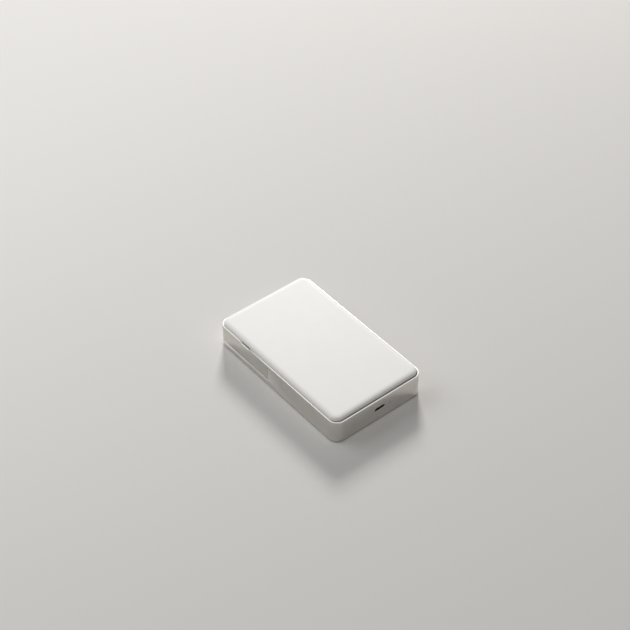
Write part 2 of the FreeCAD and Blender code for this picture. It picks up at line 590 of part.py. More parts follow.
def screw(piece, x, y, seat, up, length="screw_length"):
    """A slotted pan-head screw; its head rests on seat and lies below it when up is true."""
    head = ("%s - screw_head_height" % seat, seat) if up else (seat, "%s + screw_head_height" % seat)
    shank = (seat, "%s + %s" % (seat, length)) if up else ("%s - (%s)" % (seat, length), seat)
    piece.rod("Z", head[0], head[1], (x, y), "screw_head_radius")
    piece.rod("Z", shank[0], shank[1], (x, y), "screw_radius")
    face = head[0] if up else "%s - screw_slot_depth" % head[1]
    over = "-overrun" if up else ""
    piece.box(("%s - screw_head_radius * screw_slot_share" % x, "%s - screw_slot_width / 2" % y,
               "%s %s" % (face, over)),
              ("%s + screw_head_radius * screw_slot_share" % x, "%s + screw_slot_width / 2" % y,
               "%s + screw_slot_depth" % face if up else "%s + overrun" % head[1]), cut=True)


def make_case_screws():
    screws = Piece("case_screws")
    for x, y in case_screw_places():
        screw(screws, x, y, "foot_stand + screw_head_height", True, "screw_length - screw_head_height")


# Paper tray with its deck, and the trough that the lid's front edge swings in
def make_paper_tray():
    tray = Piece("paper_tray")
    tray.slab("deck_x", "deck_y", "deck_y", "corner_radius - wall - seat_gap", "deck_under", "deck_top")
    tray.box(("-(%s)" % OUT_X, "tray_rear", "deck_under - overrun"), (OUT_X, OUT_Y, "deck_top + overrun"),
             cut=True)
    tray.box(("-(%s)" % OUT_X, "-(%s)" % OUT_Y, "deck_under - overrun"),
             (OUT_X, "-tray_front - tray_wall", "deck_top + overrun"), cut=True)
    tray.box(("-tray_outer_x", "-tray_front - tray_wall", "tray_under"),
             ("tray_outer_x", "tray_rear", "deck_under"))
    tray.box(("-tray_half_width", "-tray_front", "tray_floor_top"),
             ("tray_half_width", "tray_rear + overrun", "deck_top + overrun"), cut=True)
    # hinge trough
    trough_low = "trough_top - trough_floor"
    tray.box(("-trough_half_width + fit_gap", "-deck_y", trough_low),
             ("trough_half_width - fit_gap", "-tray_front", "trough_top"))
    tray.box(("-tray_half_width", "-tray_front - tray_wall", trough_low),
             ("tray_half_width", "-tray_front", "deck_top"))
    # windows for the pickup tyres
    for x in sides("pickup_x"):
        tray.box(("%s - pickup_tyre_width / 2 - window_gap" % x, "pickup_y - pickup_radius - window_gap",
                  "tray_under - overrun"),
                 ("%s + pickup_tyre_width / 2 + window_gap" % x, "pickup_y + pickup_radius + window_gap",
                  "tray_floor_top + overrun"), cut=True)
    for x, y in tray_leg_places():
        tray.rod("Z", "boss_top", "deck_under + deck_thickness / 2", (x, y), "tray_leg_radius")
        tray.rod("Z", "deck_top - screw_head_height / 2", "deck_top + overrun", (x, y),
                 "screw_head_radius + fit_gap", cut=True)
        tray.rod("Z", "deck_top - screw_length - overrun", "deck_top + overrun", (x, y),
                 "screw_radius + pin_play", cut=True)


def tray_leg_places():
    return [(x, y) for x in sides("leg_x") for y in ("-front_boss_y", "-tray_leg_y")]


def make_mechanism_cover():
    cover = Piece("mechanism_cover")
    cover.slab("deck_x", "deck_y", "deck_y", "corner_radius - wall - seat_gap", "mech_cover_low",
               "mech_cover_top")
    cover.box(("-(%s)" % OUT_X, "-(%s)" % OUT_Y, "mech_cover_low - overrun"),
              (OUT_X, "mech_front", "mech_cover_top + overrun"), cut=True)
    for x in sides("magnet_x"):
        cover.box(("%s - catch_width / 2 - fit_gap" % x, "magnet_y - catch_length / 2 - fit_gap",
                   "mech_cover_top - catch_thickness"),
                  ("%s + catch_width / 2 + fit_gap" % x, "magnet_y + catch_length / 2 + fit_gap",
                   "mech_cover_top + overrun"), cut=True)
        # pads that stand on the bridge plate
        cover.box(("%s * catch_share - catch_width / 2" % x, "bridge_front + overrun", "bridge_top"),
                  ("%s * catch_share + catch_width / 2" % x, "bridge_rear - overrun",
                   "mech_cover_low + fit_gap"))


def make_catch_plates():
    plates = Piece("catch_plates")
    for x in sides("magnet_x"):
        plates.box(("%s - catch_width / 2" % x, "magnet_y - catch_length / 2",
                    "mech_cover_top - catch_thickness"),
                   ("%s + catch_width / 2" % x, "magnet_y + catch_length / 2", "mech_cover_top"))


BRACKET_SCREW_Y = "hinge_y + upright_start + upright_depth / 2"
ARM_SCREW_Y = "hinge_y + arm_pad_depth - screw_head_radius - fit_gap"


# Hinge: two brackets on the trough floor, a pin in each, and an arm of the lid between the ears
def make_hinge():
    brackets = Piece("hinge_brackets")
    pins = Piece("hinge_pins")
    arms = Piece("lid_hinge_arms")
    foot_y, upright_y = "hinge_y + bracket_start", "hinge_y + upright_start"
    for x in sides("hinge_x"):
        brackets.box(("%s - bracket_side" % x, foot_y, "trough_top"),
                     ("%s + bracket_side" % x, "%s + bracket_depth" % foot_y, "trough_top + bracket_foot"))
        for sign in ("-", "+"):
            near, far = "%s %s hinge_side" % (x, sign), "%s %s bracket_side" % (x, sign)
            low, high = (far, near) if sign == "-" else (near, far)
            brackets.box((low, upright_y, "trough_top"), (high, "%s + upright_depth" % upright_y,
                                                          "hinge_height + knuckle_radius"))
            brackets.box((low, "hinge_y", "hinge_height - knuckle_radius"),
                         (high, "%s + upright_depth" % upright_y, "hinge_height + knuckle_radius"))
            brackets.rod("X", low, high, ("hinge_y", "hinge_height"), "knuckle_radius")
        brackets.rod("X", "%s - bracket_side - overrun" % x, "%s + bracket_side + overrun" % x,
                     ("hinge_y", "hinge_height"), "pin_radius", cut=True)
        brackets.rod("Z", "trough_top - overrun", "trough_top + bracket_foot + overrun",
                     (x, BRACKET_SCREW_Y), "screw_radius + pin_play", cut=True)
        pins.rod("X", "%s - bracket_side" % x, "%s + bracket_side" % x, ("hinge_y", "hinge_height"),
                 "pin_radius")
        arms.box(("%s - knuckle_width / 2" % x, "hinge_y", "lid_under - arm_pad_thickness"),
                 ("%s + knuckle_width / 2" % x, "hinge_y + arm_pad_depth", "lid_under"))
        arms.box(("%s - knuckle_width / 2" % x, "hinge_y - knuckle_radius", "hinge_height"),
                 ("%s + knuckle_width / 2" % x, "hinge_y + knuckle_radius", "lid_under"))
        arms.rod("X", "%s - knuckle_width / 2" % x, "%s + knuckle_width / 2" % x,
                 ("hinge_y", "hinge_height"), "knuckle_radius")
        arms.rod("X", "%s - knuckle_width" % x, "%s + knuckle_width" % x, ("hinge_y", "hinge_height"),
                 "pin_radius + pin_play", cut=True)
        arms.rod("Z", "lid_under - arm_pad_thickness - overrun", "lid_under + overrun", (x, ARM_SCREW_Y),
                 "screw_radius + pin_play", cut=True)


# Mechanism frame: two steel ears joined by two bars
def make_mech_frame():
    frame = Piece("mech_frame")
    for x in ("-frame_half_width", "frame_inner_x"):
        frame.outline("YZ_Plane", (
            ("frame_front", "frame_shelf"), ("frame_rear", "frame_shelf"), ("frame_rear", "frame_high"),
            ("frame_step_y", "frame_high"), ("frame_step_y", "frame_mid_height"),
            ("frame_front", "frame_mid_height")), x, "frame_sheet")
    for start, end in (("frame_front", "front_bar_end"), ("rear_bar_start", "rear_bar_end")):
        frame.box(("-frame_half_width", start, "frame_shelf"),
                  ("frame_half_width", end, "frame_shelf + frame_sheet"))
    for x in ("-frame_half_width", "frame_inner_x"):
        span = ("%s - cut_over" % x, "%s + frame_sheet + cut_over" % x)
        for y, z in (("platen_y", "platen_height"), ("pickup_y", "pickup_height")):
            frame.rod("X", span[0], span[1], (y, z), "bush_radius", cut=True)
        frame.rod("X", span[0], span[1], ("head_pivot_y", "pivot_z"), "head_pivot_radius", cut=True)
    posts = [("frame_inner_x", y, z) for y, z in idler_places()]
    posts.append(("-frame_half_width", "reduction_y", "reduction_z"))
    for x, y, z in posts:
        frame.rod("X", "%s - cut_over" % x, "%s + frame_sheet + cut_over" % x, (y, z), "post_radius",
                  cut=True)
    frame.rod("X", "-frame_half_width - overrun", "-frame_inner_x + overrun", ("motor_y", "motor_height"),
              "motor_boss_radius + pin_play", cut=True)
    for x in sides("post_x"):
        for y in ("front_post_y", "rear_post_y"):
            frame.rod("Z", "frame_shelf - overrun", "frame_shelf + frame_sheet + overrun", (x, y),
                      "screw_radius + pin_play", cut=True)


def idler_places():
    return [("idler_%s_y" % n, "idler_%s_z" % n) for n in ("one", "two", "three")]


def make_bushes():
    bushes = Piece("roller_bushes")
    for y, z in (("platen_y", "platen_height"), ("pickup_y", "pickup_height")):
        for low, high, flange_low, flange_high in (
                ("-frame_half_width", "-frame_inner_x + bush_flange", "-frame_inner_x",
                 "-frame_inner_x + bush_flange"),
                ("frame_inner_x - bush_flange", "frame_half_width", "frame_inner_x - bush_flange",
                 "frame_inner_x")):
            bushes.rod("X", low, high, (y, z), "bush_radius")
            bushes.rod("X", flange_low, flange_high, (y, z), "bush_flange_radius")
            bushes.rod("X", "%s - cut_over" % low, "%s + cut_over" % high, (y, z),
                       "shaft_radius + shaft_play", cut=True)


def make_posts():
    posts = Piece("idler_posts")
    for y, z in idler_places():
        posts.rod("X", "frame_inner_x", "gear_outer_x + gear_gap / 2", (y, z), "post_radius")
        posts.rod("X", "gear_outer_x + gear_gap / 2", "gear_outer_x + gear_gap / 2 + post_head", (y, z),
                  "post_head_radius")
    post = Piece("reduction_post")
    end = "far_gear_outer_x + gear_gap / 2"
    post.rod("X", "-(%s)" % end, "-frame_inner_x", ("reduction_y", "reduction_z"), "post_radius")
    post.rod("X", "-(%s) - post_head" % end, "-(%s)" % end, ("reduction_y", "reduction_z"),
             "post_head_radius")


# Drive motor: a round can bolted to the left ear
def make_motor():
    can = Piece("drive_motor")
    centre = ("motor_y", "motor_height")
    can.rod("X", "-frame_inner_x", "-frame_inner_x + motor_length", centre, "motor_radius")
    can.rod("X", "-frame_half_width - motor_boss", "-frame_inner_x", centre, "motor_boss_radius")
    can.rod("X", "-frame_half_width - motor_boss - overrun", "-frame_inner_x + motor_radius", centre,
            "motor_shaft_radius + pin_play", cut=True)
    can.edges("Fillet", "motor_boss", lambda edge: at_can_end(edge))


def at_can_end(edge):
    end = -read("frame_half_width") + read("frame_sheet") + read("motor_length")
    box = edge.BoundBox
    return abs(box.XMin - end) < NEAR and abs(box.XMax - end) < NEAR


def make_bridge():
    bridge = Piece("bridge_plate")
    bridge.box(("-frame_half_width", "bridge_front", "bridge_under"),
               ("frame_half_width", "bridge_rear", "bridge_top"))
    pin = Piece("head_pivot_pin")
    pin.rod("X", "-frame_half_width", "frame_half_width", ("head_pivot_y", "pivot_z"), "head_pivot_radius")


# Thermal head: an aluminium heat sink on the pivot pin, with the ceramic strip under it
def make_thermal_head():
    sink = Piece("head_heatsink")
    sink.box(("-sink_x", "sink_front", "strip_high"), ("sink_x", "sink_rear", "sink_high"))
    for low, high in (("-sink_x", "-lug_x"), ("lug_x", "sink_x")):
        sink.box((low, "head_pivot_y", "pivot_z - lug_half"),
                 (high, "strip_front - fit_gap", "pivot_z + lug_half"))
        sink.rod("X", low, high, ("head_pivot_y", "pivot_z"), "lug_half")
    sink.rod("X", "-sink_x - overrun", "sink_x + overrun", ("head_pivot_y", "pivot_z"),
             "head_pivot_radius + pin_play", cut=True)
    strip = Piece("head_strip")
    strip.box(("-platen_half_length + head_side_gap", "strip_front", "strip_low"),
              ("platen_half_length - head_side_gap", "strip_front + strip_length", "strip_high"))


# Rollers
def make_rollers():
    platen = ("platen_y", "platen_height")
    pickup = ("pickup_y", "pickup_height")
    shaft = Piece("platen_shaft")
    shaft.rod("X", "-shaft_end", "shaft_end", platen, "shaft_radius")
    sleeve = Piece("platen_sleeve")
    sleeve.rod("X", "-platen_half_length", "platen_half_length", platen, "platen_radius")
    sleeve.rod("X", "-platen_half_length - overrun", "platen_half_length + overrun", platen,
               "shaft_radius", cut=True)
    axle = Piece("pickup_shaft")
    axle.rod("X", "-frame_half_width", "shaft_end", pickup, "shaft_radius")
    tyres = Piece("pickup_tyres")
    for x in sides("pickup_x"):
        tyres.rod("X", "%s - pickup_tyre_width / 2" % x, "%s + pickup_tyre_width / 2" % x, pickup,
                  "pickup_radius")
    tyres.rod("X", "-frame_half_width", "frame_half_width", pickup, "shaft_radius", cut=True)


# Paper guide with lugs for the sensor flag
def make_paper_guide():
    guide = Piece("paper_guide")
    low, high = "tray_floor_top - guide_thickness", "tray_floor_top"
    guide.outline("YZ_Plane", (("mech_front", low), ("guide_end", "%s + guide_rise" % low),
                               ("guide_end", "%s + guide_rise" % high), ("mech_front", high)),
                  "-guide_half_width", "2 * guide_half_width")
    middle = "tray_floor_top - guide_thickness / 2"
    legs = [(x, "mech_front + guide_leg / 2", middle) for x in sides("guide_leg_x")]
    legs += [(x, "guide_end - guide_leg / 2", "%s + guide_rise" % middle)
             for x in ("-guide_leg_inner_x", "guide_leg_x")]
    for x, y, top in legs:
        guide.box(("%s - guide_leg / 2" % x, "%s - guide_leg / 2" % y, "cover_top"),
                  ("%s + guide_leg / 2" % x, "%s + guide_leg / 2" % y, top))
    guide.box(("flag_x - flag_width / 2 - wide_gap", "flag_y - flag_slot_front", "cover_top"),
              ("flag_x + flag_width / 2 + wide_gap", "flag_y + flag_slot_rear",
               "deck_top"), cut=True)
    inner = "flag_width / 2 + wide_gap"
    for sign, a, b in (("-", inner + " + lug_thickness", inner), ("+", inner, inner + " + lug_thickness")):
        guide.box(("flag_x %s (%s)" % (sign, a), "flag_y - flag_hub", "flag_height - flag_hub"),
                  ("flag_x %s (%s)" % (sign, b), "flag_y + flag_hub", high))
    guide.rod("X", "flag_x - sensor_width", "flag_x + sensor_width", ("flag_y", "flag_height"),
              "flag_pin_radius", cut=True)


# Paper sensor: a lever on a pin, and the board whose fork reads its tail
def make_sensor():
    flag = Piece("paper_flag")
    low, high = "flag_x - flag_width / 2", "flag_x + flag_width / 2"
    flag.rod("X", low, high, ("flag_y", "flag_height"), "flag_hub")
    flag.box((low, "flag_y - flag_arm / 2", "flag_height - flag_tail"),
             (high, "flag_y + flag_arm / 2", "flag_height + flag_tip"))
    flag.rod("X", "flag_x - flag_width", "flag_x + flag_width", ("flag_y", "flag_height"),
             "flag_pin_radius + pin_play", cut=True)
    pin = Piece("flag_pin")
    reach = "flag_width / 2 + wide_gap + lug_thickness"
    pin.rod("X", "flag_x - (%s)" % reach, "flag_x + %s" % reach, ("flag_y", "flag_height"),
            "flag_pin_radius")
    board = Piece("sensor_board")
    board.box(("flag_x - sensor_width / 2", "flag_y - sensor_length / 2", "cover_top"),
              ("flag_x + sensor_width / 2", "flag_y + sensor_length / 2", "cover_top + board_thickness"))
    for low, high in (("flag_x - sensor_slot - sensor_arm", "flag_x - sensor_slot"),
                      ("flag_x + sensor_slot", "flag_x + sensor_slot + sensor_arm")):
        board.box((low, "flag_y - sensor_arm", "cover_top"),
                  (high, "flag_y + sensor_arm", "cover_top + sensor_height"))


# Electronics
def make_electronics():
    board = Piece("main_board")
    board.box(("-board_half_width", "-board_front", "board_low"),
              ("board_half_width", "-board_rear", "board_top"))
    for x, y in board_post_places():
        board.rod("Z", "board_low - overrun", "board_top + overrun", (x, y), "screw_radius + fit_gap",
                  cut=True)
    chips = Piece("board_chips")
    for x_share, y_share in CHIP_SHARES:
        x = "board_half_width * %s" % x_share
        y = "-board_rear - (board_front - board_rear) * %s" % y_share
        chips.box(("%s - chip_size / 2" % x, "%s - chip_size / 2" % y, "board_top"),
                  ("%s + chip_size / 2" % x, "%s + chip_size / 2" % y, "board_top + chip_height"))
    module = Piece("wireless_module")
    x, y = "-board_half_width * module_x_share", "-board_rear - (board_front - board_rear) * module_y_share"
    module.box(("%s - module_width / 2" % x, "%s - module_length / 2" % y, "board_top"),
               ("%s + module_width / 2" % x, "%s + module_length / 2" % y, "board_top + chip_height"))
    switch = Piece("power_switch")
    end = "button_back - button_stem - button_travel - fit_gap"
    switch.box(("%s - switch_depth" % end, "-switch_y - switch_width / 2", "board_top"),
               (end, "-switch_y + switch_width / 2", "board_top + switch_height"))
    light = Piece("status_light")
    back = "-half_length + usb_setback + light_depth"
    light.box(("light_x - light_pad", back, "board_top"),
              ("light_x + light_pad", "%s + 2 * light_pad" % back, "light_height + light_radius"))
    lens = Piece("indicator_lens")
    lens.rod("Y", "-half_length + usb_setback", back, ("light_x", "light_height"),
             "light_radius - pin_play")


CHIP_SHARES = ((0.0, 0.25), (0.35, 0.25), (0.0, 0.6), (0.38, 0.6))


def board_post_places():
    return [(x, y) for x in sides("board_post_x") for y in ("-board_front_post_y", "-board_rear_post_y")]


def make_usb():
    shell = Piece("usb_shell")
    front, back = "-usb_front", "-usb_front + usb_depth"
    pill(shell, front, back, "0", "usb_height", "usb_width / 2", "usb_shell_height / 2")
    pill(shell, "%s - overrun" % front, "%s + overrun" % back, "0", "usb_height",
         "usb_width / 2 - usb_shell_wall", "usb_shell_height / 2 - usb_shell_wall", cut=True)
    tongue = Piece("usb_tongue")
    tongue.box(("-usb_tongue_width / 2", "%s + usb_tongue_setback" % front,
                "usb_height - usb_tongue_thickness / 2"),
               ("usb_tongue_width / 2", back, "usb_height + usb_tongue_thickness / 2"))
    tongue.box(("-usb_tongue_width / 2 + 2 * usb_shell_wall", "%s - usb_tongue_setback" % back,
                "usb_height - usb_shell_height / 2 + usb_shell_wall"),
               ("usb_tongue_width / 2 - 2 * usb_shell_wall", back,
                "usb_height + usb_shell_height / 2 - usb_shell_wall"))


def make_power_button():
    button = Piece("power_button")
    side_pill(button, "button_back", "half_width - button_gap", "-switch_y", "button_z",
              "button_length / 2", "button_height / 2")
    side_pill(button, "button_back", "inner_x - fit_gap", "-switch_y", "button_z",
              "button_length / 2 + button_flange", "button_height / 2 + button_flange")
    button.rod("X", "button_back - button_stem", "button_back + button_plate / 2",
               ("-switch_y", "button_z"), "button_stem")


def make_battery():
    pack = Piece("battery_pack")
    pack.box(("-battery_half_width", "-battery_front", "cover_top"),
             ("battery_half_width", "battery_rear", "cover_top + battery_height"))
    mid = read("battery_height")
    pack.edges("Fillet", "overrun", lambda edge: upright(edge, mid))
    plug = Piece("battery_plug")
    plug.box(("-plug_width / 2", "-board_rear - plug_length", "board_low - plug_height"),
             ("plug_width / 2", "-board_rear", "board_low"))
    lead = Piece("battery_lead")
    for x in sides("lead_pitch / 2"):
        lead.rod("Y", "-board_rear", "-battery_front", (x, "board_low - plug_height / 2"), "lead_radius")
    flex = Piece("head_flex_cable")
    x = "-(tray_outer_x + frame_inner_x) / 2"
    flex.box(("%s - flex_thickness / 2" % x, "-flex_start", "flex_low"),
             ("%s + flex_thickness / 2" % x, "head_pivot_y - lug_half - fit_gap", "flex_low + flex_width"))
    flex.box(("-board_half_width + overrun", "-flex_start - flex_fold", "board_top"),
             ("%s + flex_thickness / 2" % x, "-flex_start + overrun", "flex_low + flex_width / 2"))


def upright(edge, least):
    box = edge.BoundBox
    return box.ZLength > least - NEAR and box.XLength < NEAR and box.YLength < NEAR


def make_inner_screws():
    screws = Piece("inner_screws")
    for x in sides("post_x"):
        for y in ("front_post_y", "rear_post_y"):
            screw(screws, x, y, "frame_shelf + frame_sheet", False, "frame_sheet + overrun")
    for x, y in board_post_places():
        screw(screws, x, y, "board_top", False, "screw_length")
    for x, y in tray_leg_places():
        screw(screws, x, y, "deck_top - screw_head_height / 2", False, "screw_length")
    for x in sides("hinge_x"):
        screw(screws, x, BRACKET_SCREW_Y, "trough_top + bracket_foot", False, "bracket_foot")


def shape_piece(name, shape):
    """A sub-part whose form comes from a formula; its place is set by the caller."""
    item = doc.addObject("Part::Feature", name)
    item.Label = name
    item.Shape = shape
    NODES.append(item)
    return item


def round_wire(half_x, back_y, front_y, radius, z):
    """A level outline with four round corners."""
    arcs = []
    for x, y, quarter in ((half_x - radius, back_y - radius, 0), (radius - half_x, back_y - radius, 1),
                          (radius - half_x, radius - front_y, 2), (half_x - radius, radius - front_y, 3)):
        circle = Part.Circle(V(x, y, z), V(0, 0, 1), radius)
        start = quarter * math.pi / 2
        arcs.append(Part.Arc(circle, start, start + math.pi / 2).toShape())
    edges = []
    for i, arc in enumerate(arcs):
        edges.append(arc)
        following = arcs[(i + 1) % 4]
        edges.append(Part.LineSegment(arc.Vertexes[-1].Point, following.Vertexes[0].Point).toShape())
    return Part.Wire(edges)


# Lid: a shell with a soft elliptic pillow edge, open underneath
def make_lid_shell():
    half_x = read("body_width") / 2 - read("rim_land") - read("fit_gap")
    back = read("body_length") / 2 - read("rim_land") - read("fit_gap")
    front = read("body_length") / 2 - read("rim_land") - read("hinge_end_gap")
    corner = read("corner_radius") - read("rim_land") - read("fit_gap")
    bottom = read("lid_seat_height") + read("lid_seat_gap")
    top, start = read("lid_top"), read("pillow_start")
    under = top - read("lid_thickness")
    soft, skirt = read("pillow_width"), read("lid_skirt")
    rise = top - start
    middle = V(half_x - soft, 0, start)
    if soft > rise:
        ellipse = Part.Ellipse(V(half_x, 0, start), V(half_x - soft, 0, top), middle)
        turn = 0.0
    else:
        ellipse = Part.Ellipse(V(half_x - soft, 0, top), V(half_x, 0, start), middle)
        turn = -math.pi / 2
    curve = Part.ArcOfEllipse(ellipse, turn, turn + math.pi / 2).toShape()
    ends = sorted((v.Point for v in curve.Vertexes), key=lambda p: p.z)
    inner = half_x - soft
    low_out, low_in = V(half_x, 0, bottom), V(inner, 0, bottom)
    profile = Part.Wire(Part.__sortEdges__([
        curve, Part.LineSegment(ends[0], low_out).toShape(), Part.LineSegment(low_out, low_in).toShape(),
        Part.LineSegment(low_in, ends[1]).toShape()]))
    quarters = []
    centre_x, back_y, front_y = half_x - corner, back - corner, corner - front
    face = Part.Face(profile)
    for x, y, y_turn, angle in ((centre_x, back_y, back_y, 0), (-centre_x, back_y, back_y, 90),
                                (-centre_x, front_y, front_y, 180), (centre_x, front_y, front_y, 270)):
        part = face.copy()
        part.translate(V(-centre_x, 0, 0))
        part.rotate(V(), V(0, 0, 1), angle)
        part.translate(V(x, y, 0))
        quarters.append(part.revolve(V(x, y_turn, 0), V(0, 0, 1), 90))
    runs = []
    for angle, x, y, length in ((0, centre_x, front_y, back_y - front_y),
                                (90, centre_x, back_y, 2 * centre_x),
                                (180, -centre_x, back_y, back_y - front_y),
                                (270, -centre_x, front_y, 2 * centre_x)):
        part = face.copy()
        part.translate(V(-centre_x, 0, 0))
        part.rotate(V(), V(0, 0, 1), angle)
        part.translate(V(x, y, 0))
        along = V(0, length, 0)
        along = FreeCAD.Rotation(V(0, 0, 1), angle).multVec(along)
        runs.append(part.extrude(along))
    plate = Part.Face(round_wire(inner, back - soft, front - soft, corner - soft, bottom))
    plate = plate.extrude(V(0, 0, top - bottom))
    shell = plate.multiFuse(runs + quarters).removeSplitter()
    hollow = Part.Face(round_wire(half_x - skirt, back - skirt, front - skirt, corner - skirt,
                                  bottom - read("overrun")))
    hollow = hollow.extrude(V(0, 0, under - bottom + read("overrun")))
    return shape_piece("lid_shell", shell.cut(hollow))


def make_lid_inside():
    liner = Piece("lid_liner")
    liner.slab("liner_x", "liner_rear", "liner_front", "lid_corner - lid_skirt - fit_gap", "liner_bottom",
               "liner_top")
    magnets = Piece("lid_magnets")
    for x in sides("magnet_x"):
        liner.rod("Z", "liner_bottom - overrun", "liner_bottom + magnet_height", (x, "magnet_y"),
                  "magnet_radius", cut=True)
        magnets.rod("Z", "liner_bottom", "liner_bottom + magnet_height", (x, "magnet_y"),
                    "magnet_radius")
    plate = Piece("pressure_plate")
    plate.box(("-plate_half_width", "plate_y - plate_length / 2", "plate_bottom"),
              ("plate_half_width", "plate_y + plate_length / 2", "plate_top"))
    level = read("plate_bottom")
    plate.edges("Chamfer", "plate_thickness / 2",
                lambda edge: at_height(edge, level) and edge.BoundBox.YLength < NEAR)
    for x in sides("slider_x"):
        # a tube under the liner guides each post of the plate
        liner.rod("Z", "plate_top + plate_travel + seat_gap", "liner_bottom", (x, "plate_y"),
                  "slider_radius + slider_wall")
        liner.rod("Z", "plate_top", "liner_top + overrun", (x, "plate_y"),
                  "slider_radius + pin_play", cut=True)
        plate.rod("Z", "plate_top", "plate_top + slider_length", (x, "plate_y"), "slider_radius")
    screws = Piece("lid_screws")
    for x in sides("hinge_x"):
        screw(screws, x, ARM_SCREW_Y, "lid_under - arm_pad_thickness", True, "arm_pad_thickness")
    for x in sides("magnet_x * liner_screw_share"):
        for y in ("-liner_front + screw_head_radius * 2", "magnet_y - catch_length"):
            liner.rod("Z", "liner_bottom - overrun", "liner_top + overrun", (x, y),
                      "screw_radius + pin_play", cut=True)
            liner.rod("Z", "liner_bottom - overrun", "liner_bottom + screw_head_height", (x, y),
                      "screw_head_radius + fit_gap", cut=True)
            screw(screws, x, y, "liner_bottom + screw_head_height", True,
                  "liner_top - liner_bottom - screw_head_height")


def spring_shape(radius, wire, height, turns):
    """An upright coil on z = 0, as one tube along quarter-turn arcs."""
    rise = height - wire

    def spot(turn):
        angle = 2 * math.pi * turn
        return V(radius * math.cos(angle), radius * math.sin(angle), wire / 2 + rise * turn / turns)
    steps = turns * 4
    arcs = [Part.Arc(spot(i / 4), spot((i + 0.5) / 4), spot((i + 1) / 4)).toShape() for i in range(steps)]
    path = Part.Wire(arcs)
    edge = path.Edges[0]
    ring = Part.Wire(Part.makeCircle(wire / 2, edge.valueAt(edge.FirstParameter),
                                     edge.tangentAt(edge.FirstParameter)))
    return path.makePipeShell([ring], True, False)


def make_springs():
    plate_top = read("plate_bottom") + read("plate_thickness")
    gap = read("liner_bottom") - plate_top
    radius, wire = read("plate_spring_radius"), read("plate_spring_wire")
    pair = [spring_shape(radius, wire, gap, PLATE_SPRING_TURNS) for side in range(2)]
    for coil, side in zip(pair, (-1, 1)):
        coil.translate(V(side * read("plate_spring_x"), 0, 0))
    springs = shape_piece("pressure_springs", Part.makeCompound(pair))
    place(springs, "0", "plate_y", "plate_top")
    strip_low = read("platen_height") + read("platen_radius") + read("head_gap")
    sink_high = strip_low + read("strip_thickness") + read("sink_thickness")
    gap = read("frame_high") - sink_high
    radius, wire = read("head_spring_radius"), read("head_spring_wire")
    pair = [spring_shape(radius, wire, gap, HEAD_SPRING_TURNS) for side in range(2)]
    for coil, side in zip(pair, (-1, 1)):
        coil.translate(V(side * read("head_spring_x"), 0, 0))
    springs = shape_piece("head_springs", Part.makeCompound(pair))
    place(springs, "0", "head_spring_y", "sink_high")


PLATE_SPRING_TURNS = 5
HEAD_SPRING_TURNS = 2


def gear_shape(teeth, width, bore):
    """A spur gear along X from x = 0, with straight-sided teeth and the first tooth on +Y."""
    module = read("gear_module")
    pitch_radius = module * teeth / 2
    tip = pitch_radius + module * read("addendum_share")
    root = pitch_radius - module * read("dedendum_share")
    quarter = math.pi / (2 * teeth)
    tip_half = quarter * read("tooth_tip_share")
    root_half = quarter * read("tooth_root_share")
    points = []
    for i in range(teeth):
        centre = 2 * math.pi * i / teeth
        for radius, shift in ((root, -root_half), (tip, -tip_half), (tip, tip_half), (root, root_half)):
            points.append(V(0, radius * math.cos(centre + shift), radius * math.sin(centre + shift)))
    points.append(points[0])
    solid = Part.Face(Part.makePolygon(points)).extrude(V(width, 0, 0))
    hole = Part.makeCylinder(bore, 3 * width, V(-width, 0, 0), V(1, 0, 0))
    return solid.cut(hole)


def add_gear(name, shape, x, y, z):
    gear = shape_piece(name, shape)
    place(gear, x, y, z)
    return gear


def turn_gear(gear, angle):
    """Turn a gear about its own axis, which keeps the place it has."""
    turned = FreeCAD.Rotation(V(1, 0, 0), math.degrees(angle))
    gear.Placement = FreeCAD.Placement(gear.Placement.Base, turned)


def next_phase(first, first_teeth, first_phase, second, second_teeth):
    """The angle at which the second gear's gap meets the first gear's tooth."""
    a, b = first.Placement.Base, second.Placement.Base
    line = math.atan2(b.z - a.z, b.y - a.y)
    module = read("gear_module")
    first_radius, second_radius = module * first_teeth / 2, module * second_teeth / 2
    shift = first_radius * (first_phase - line) + math.pi * module / 2
    return line + math.pi - shift / second_radius


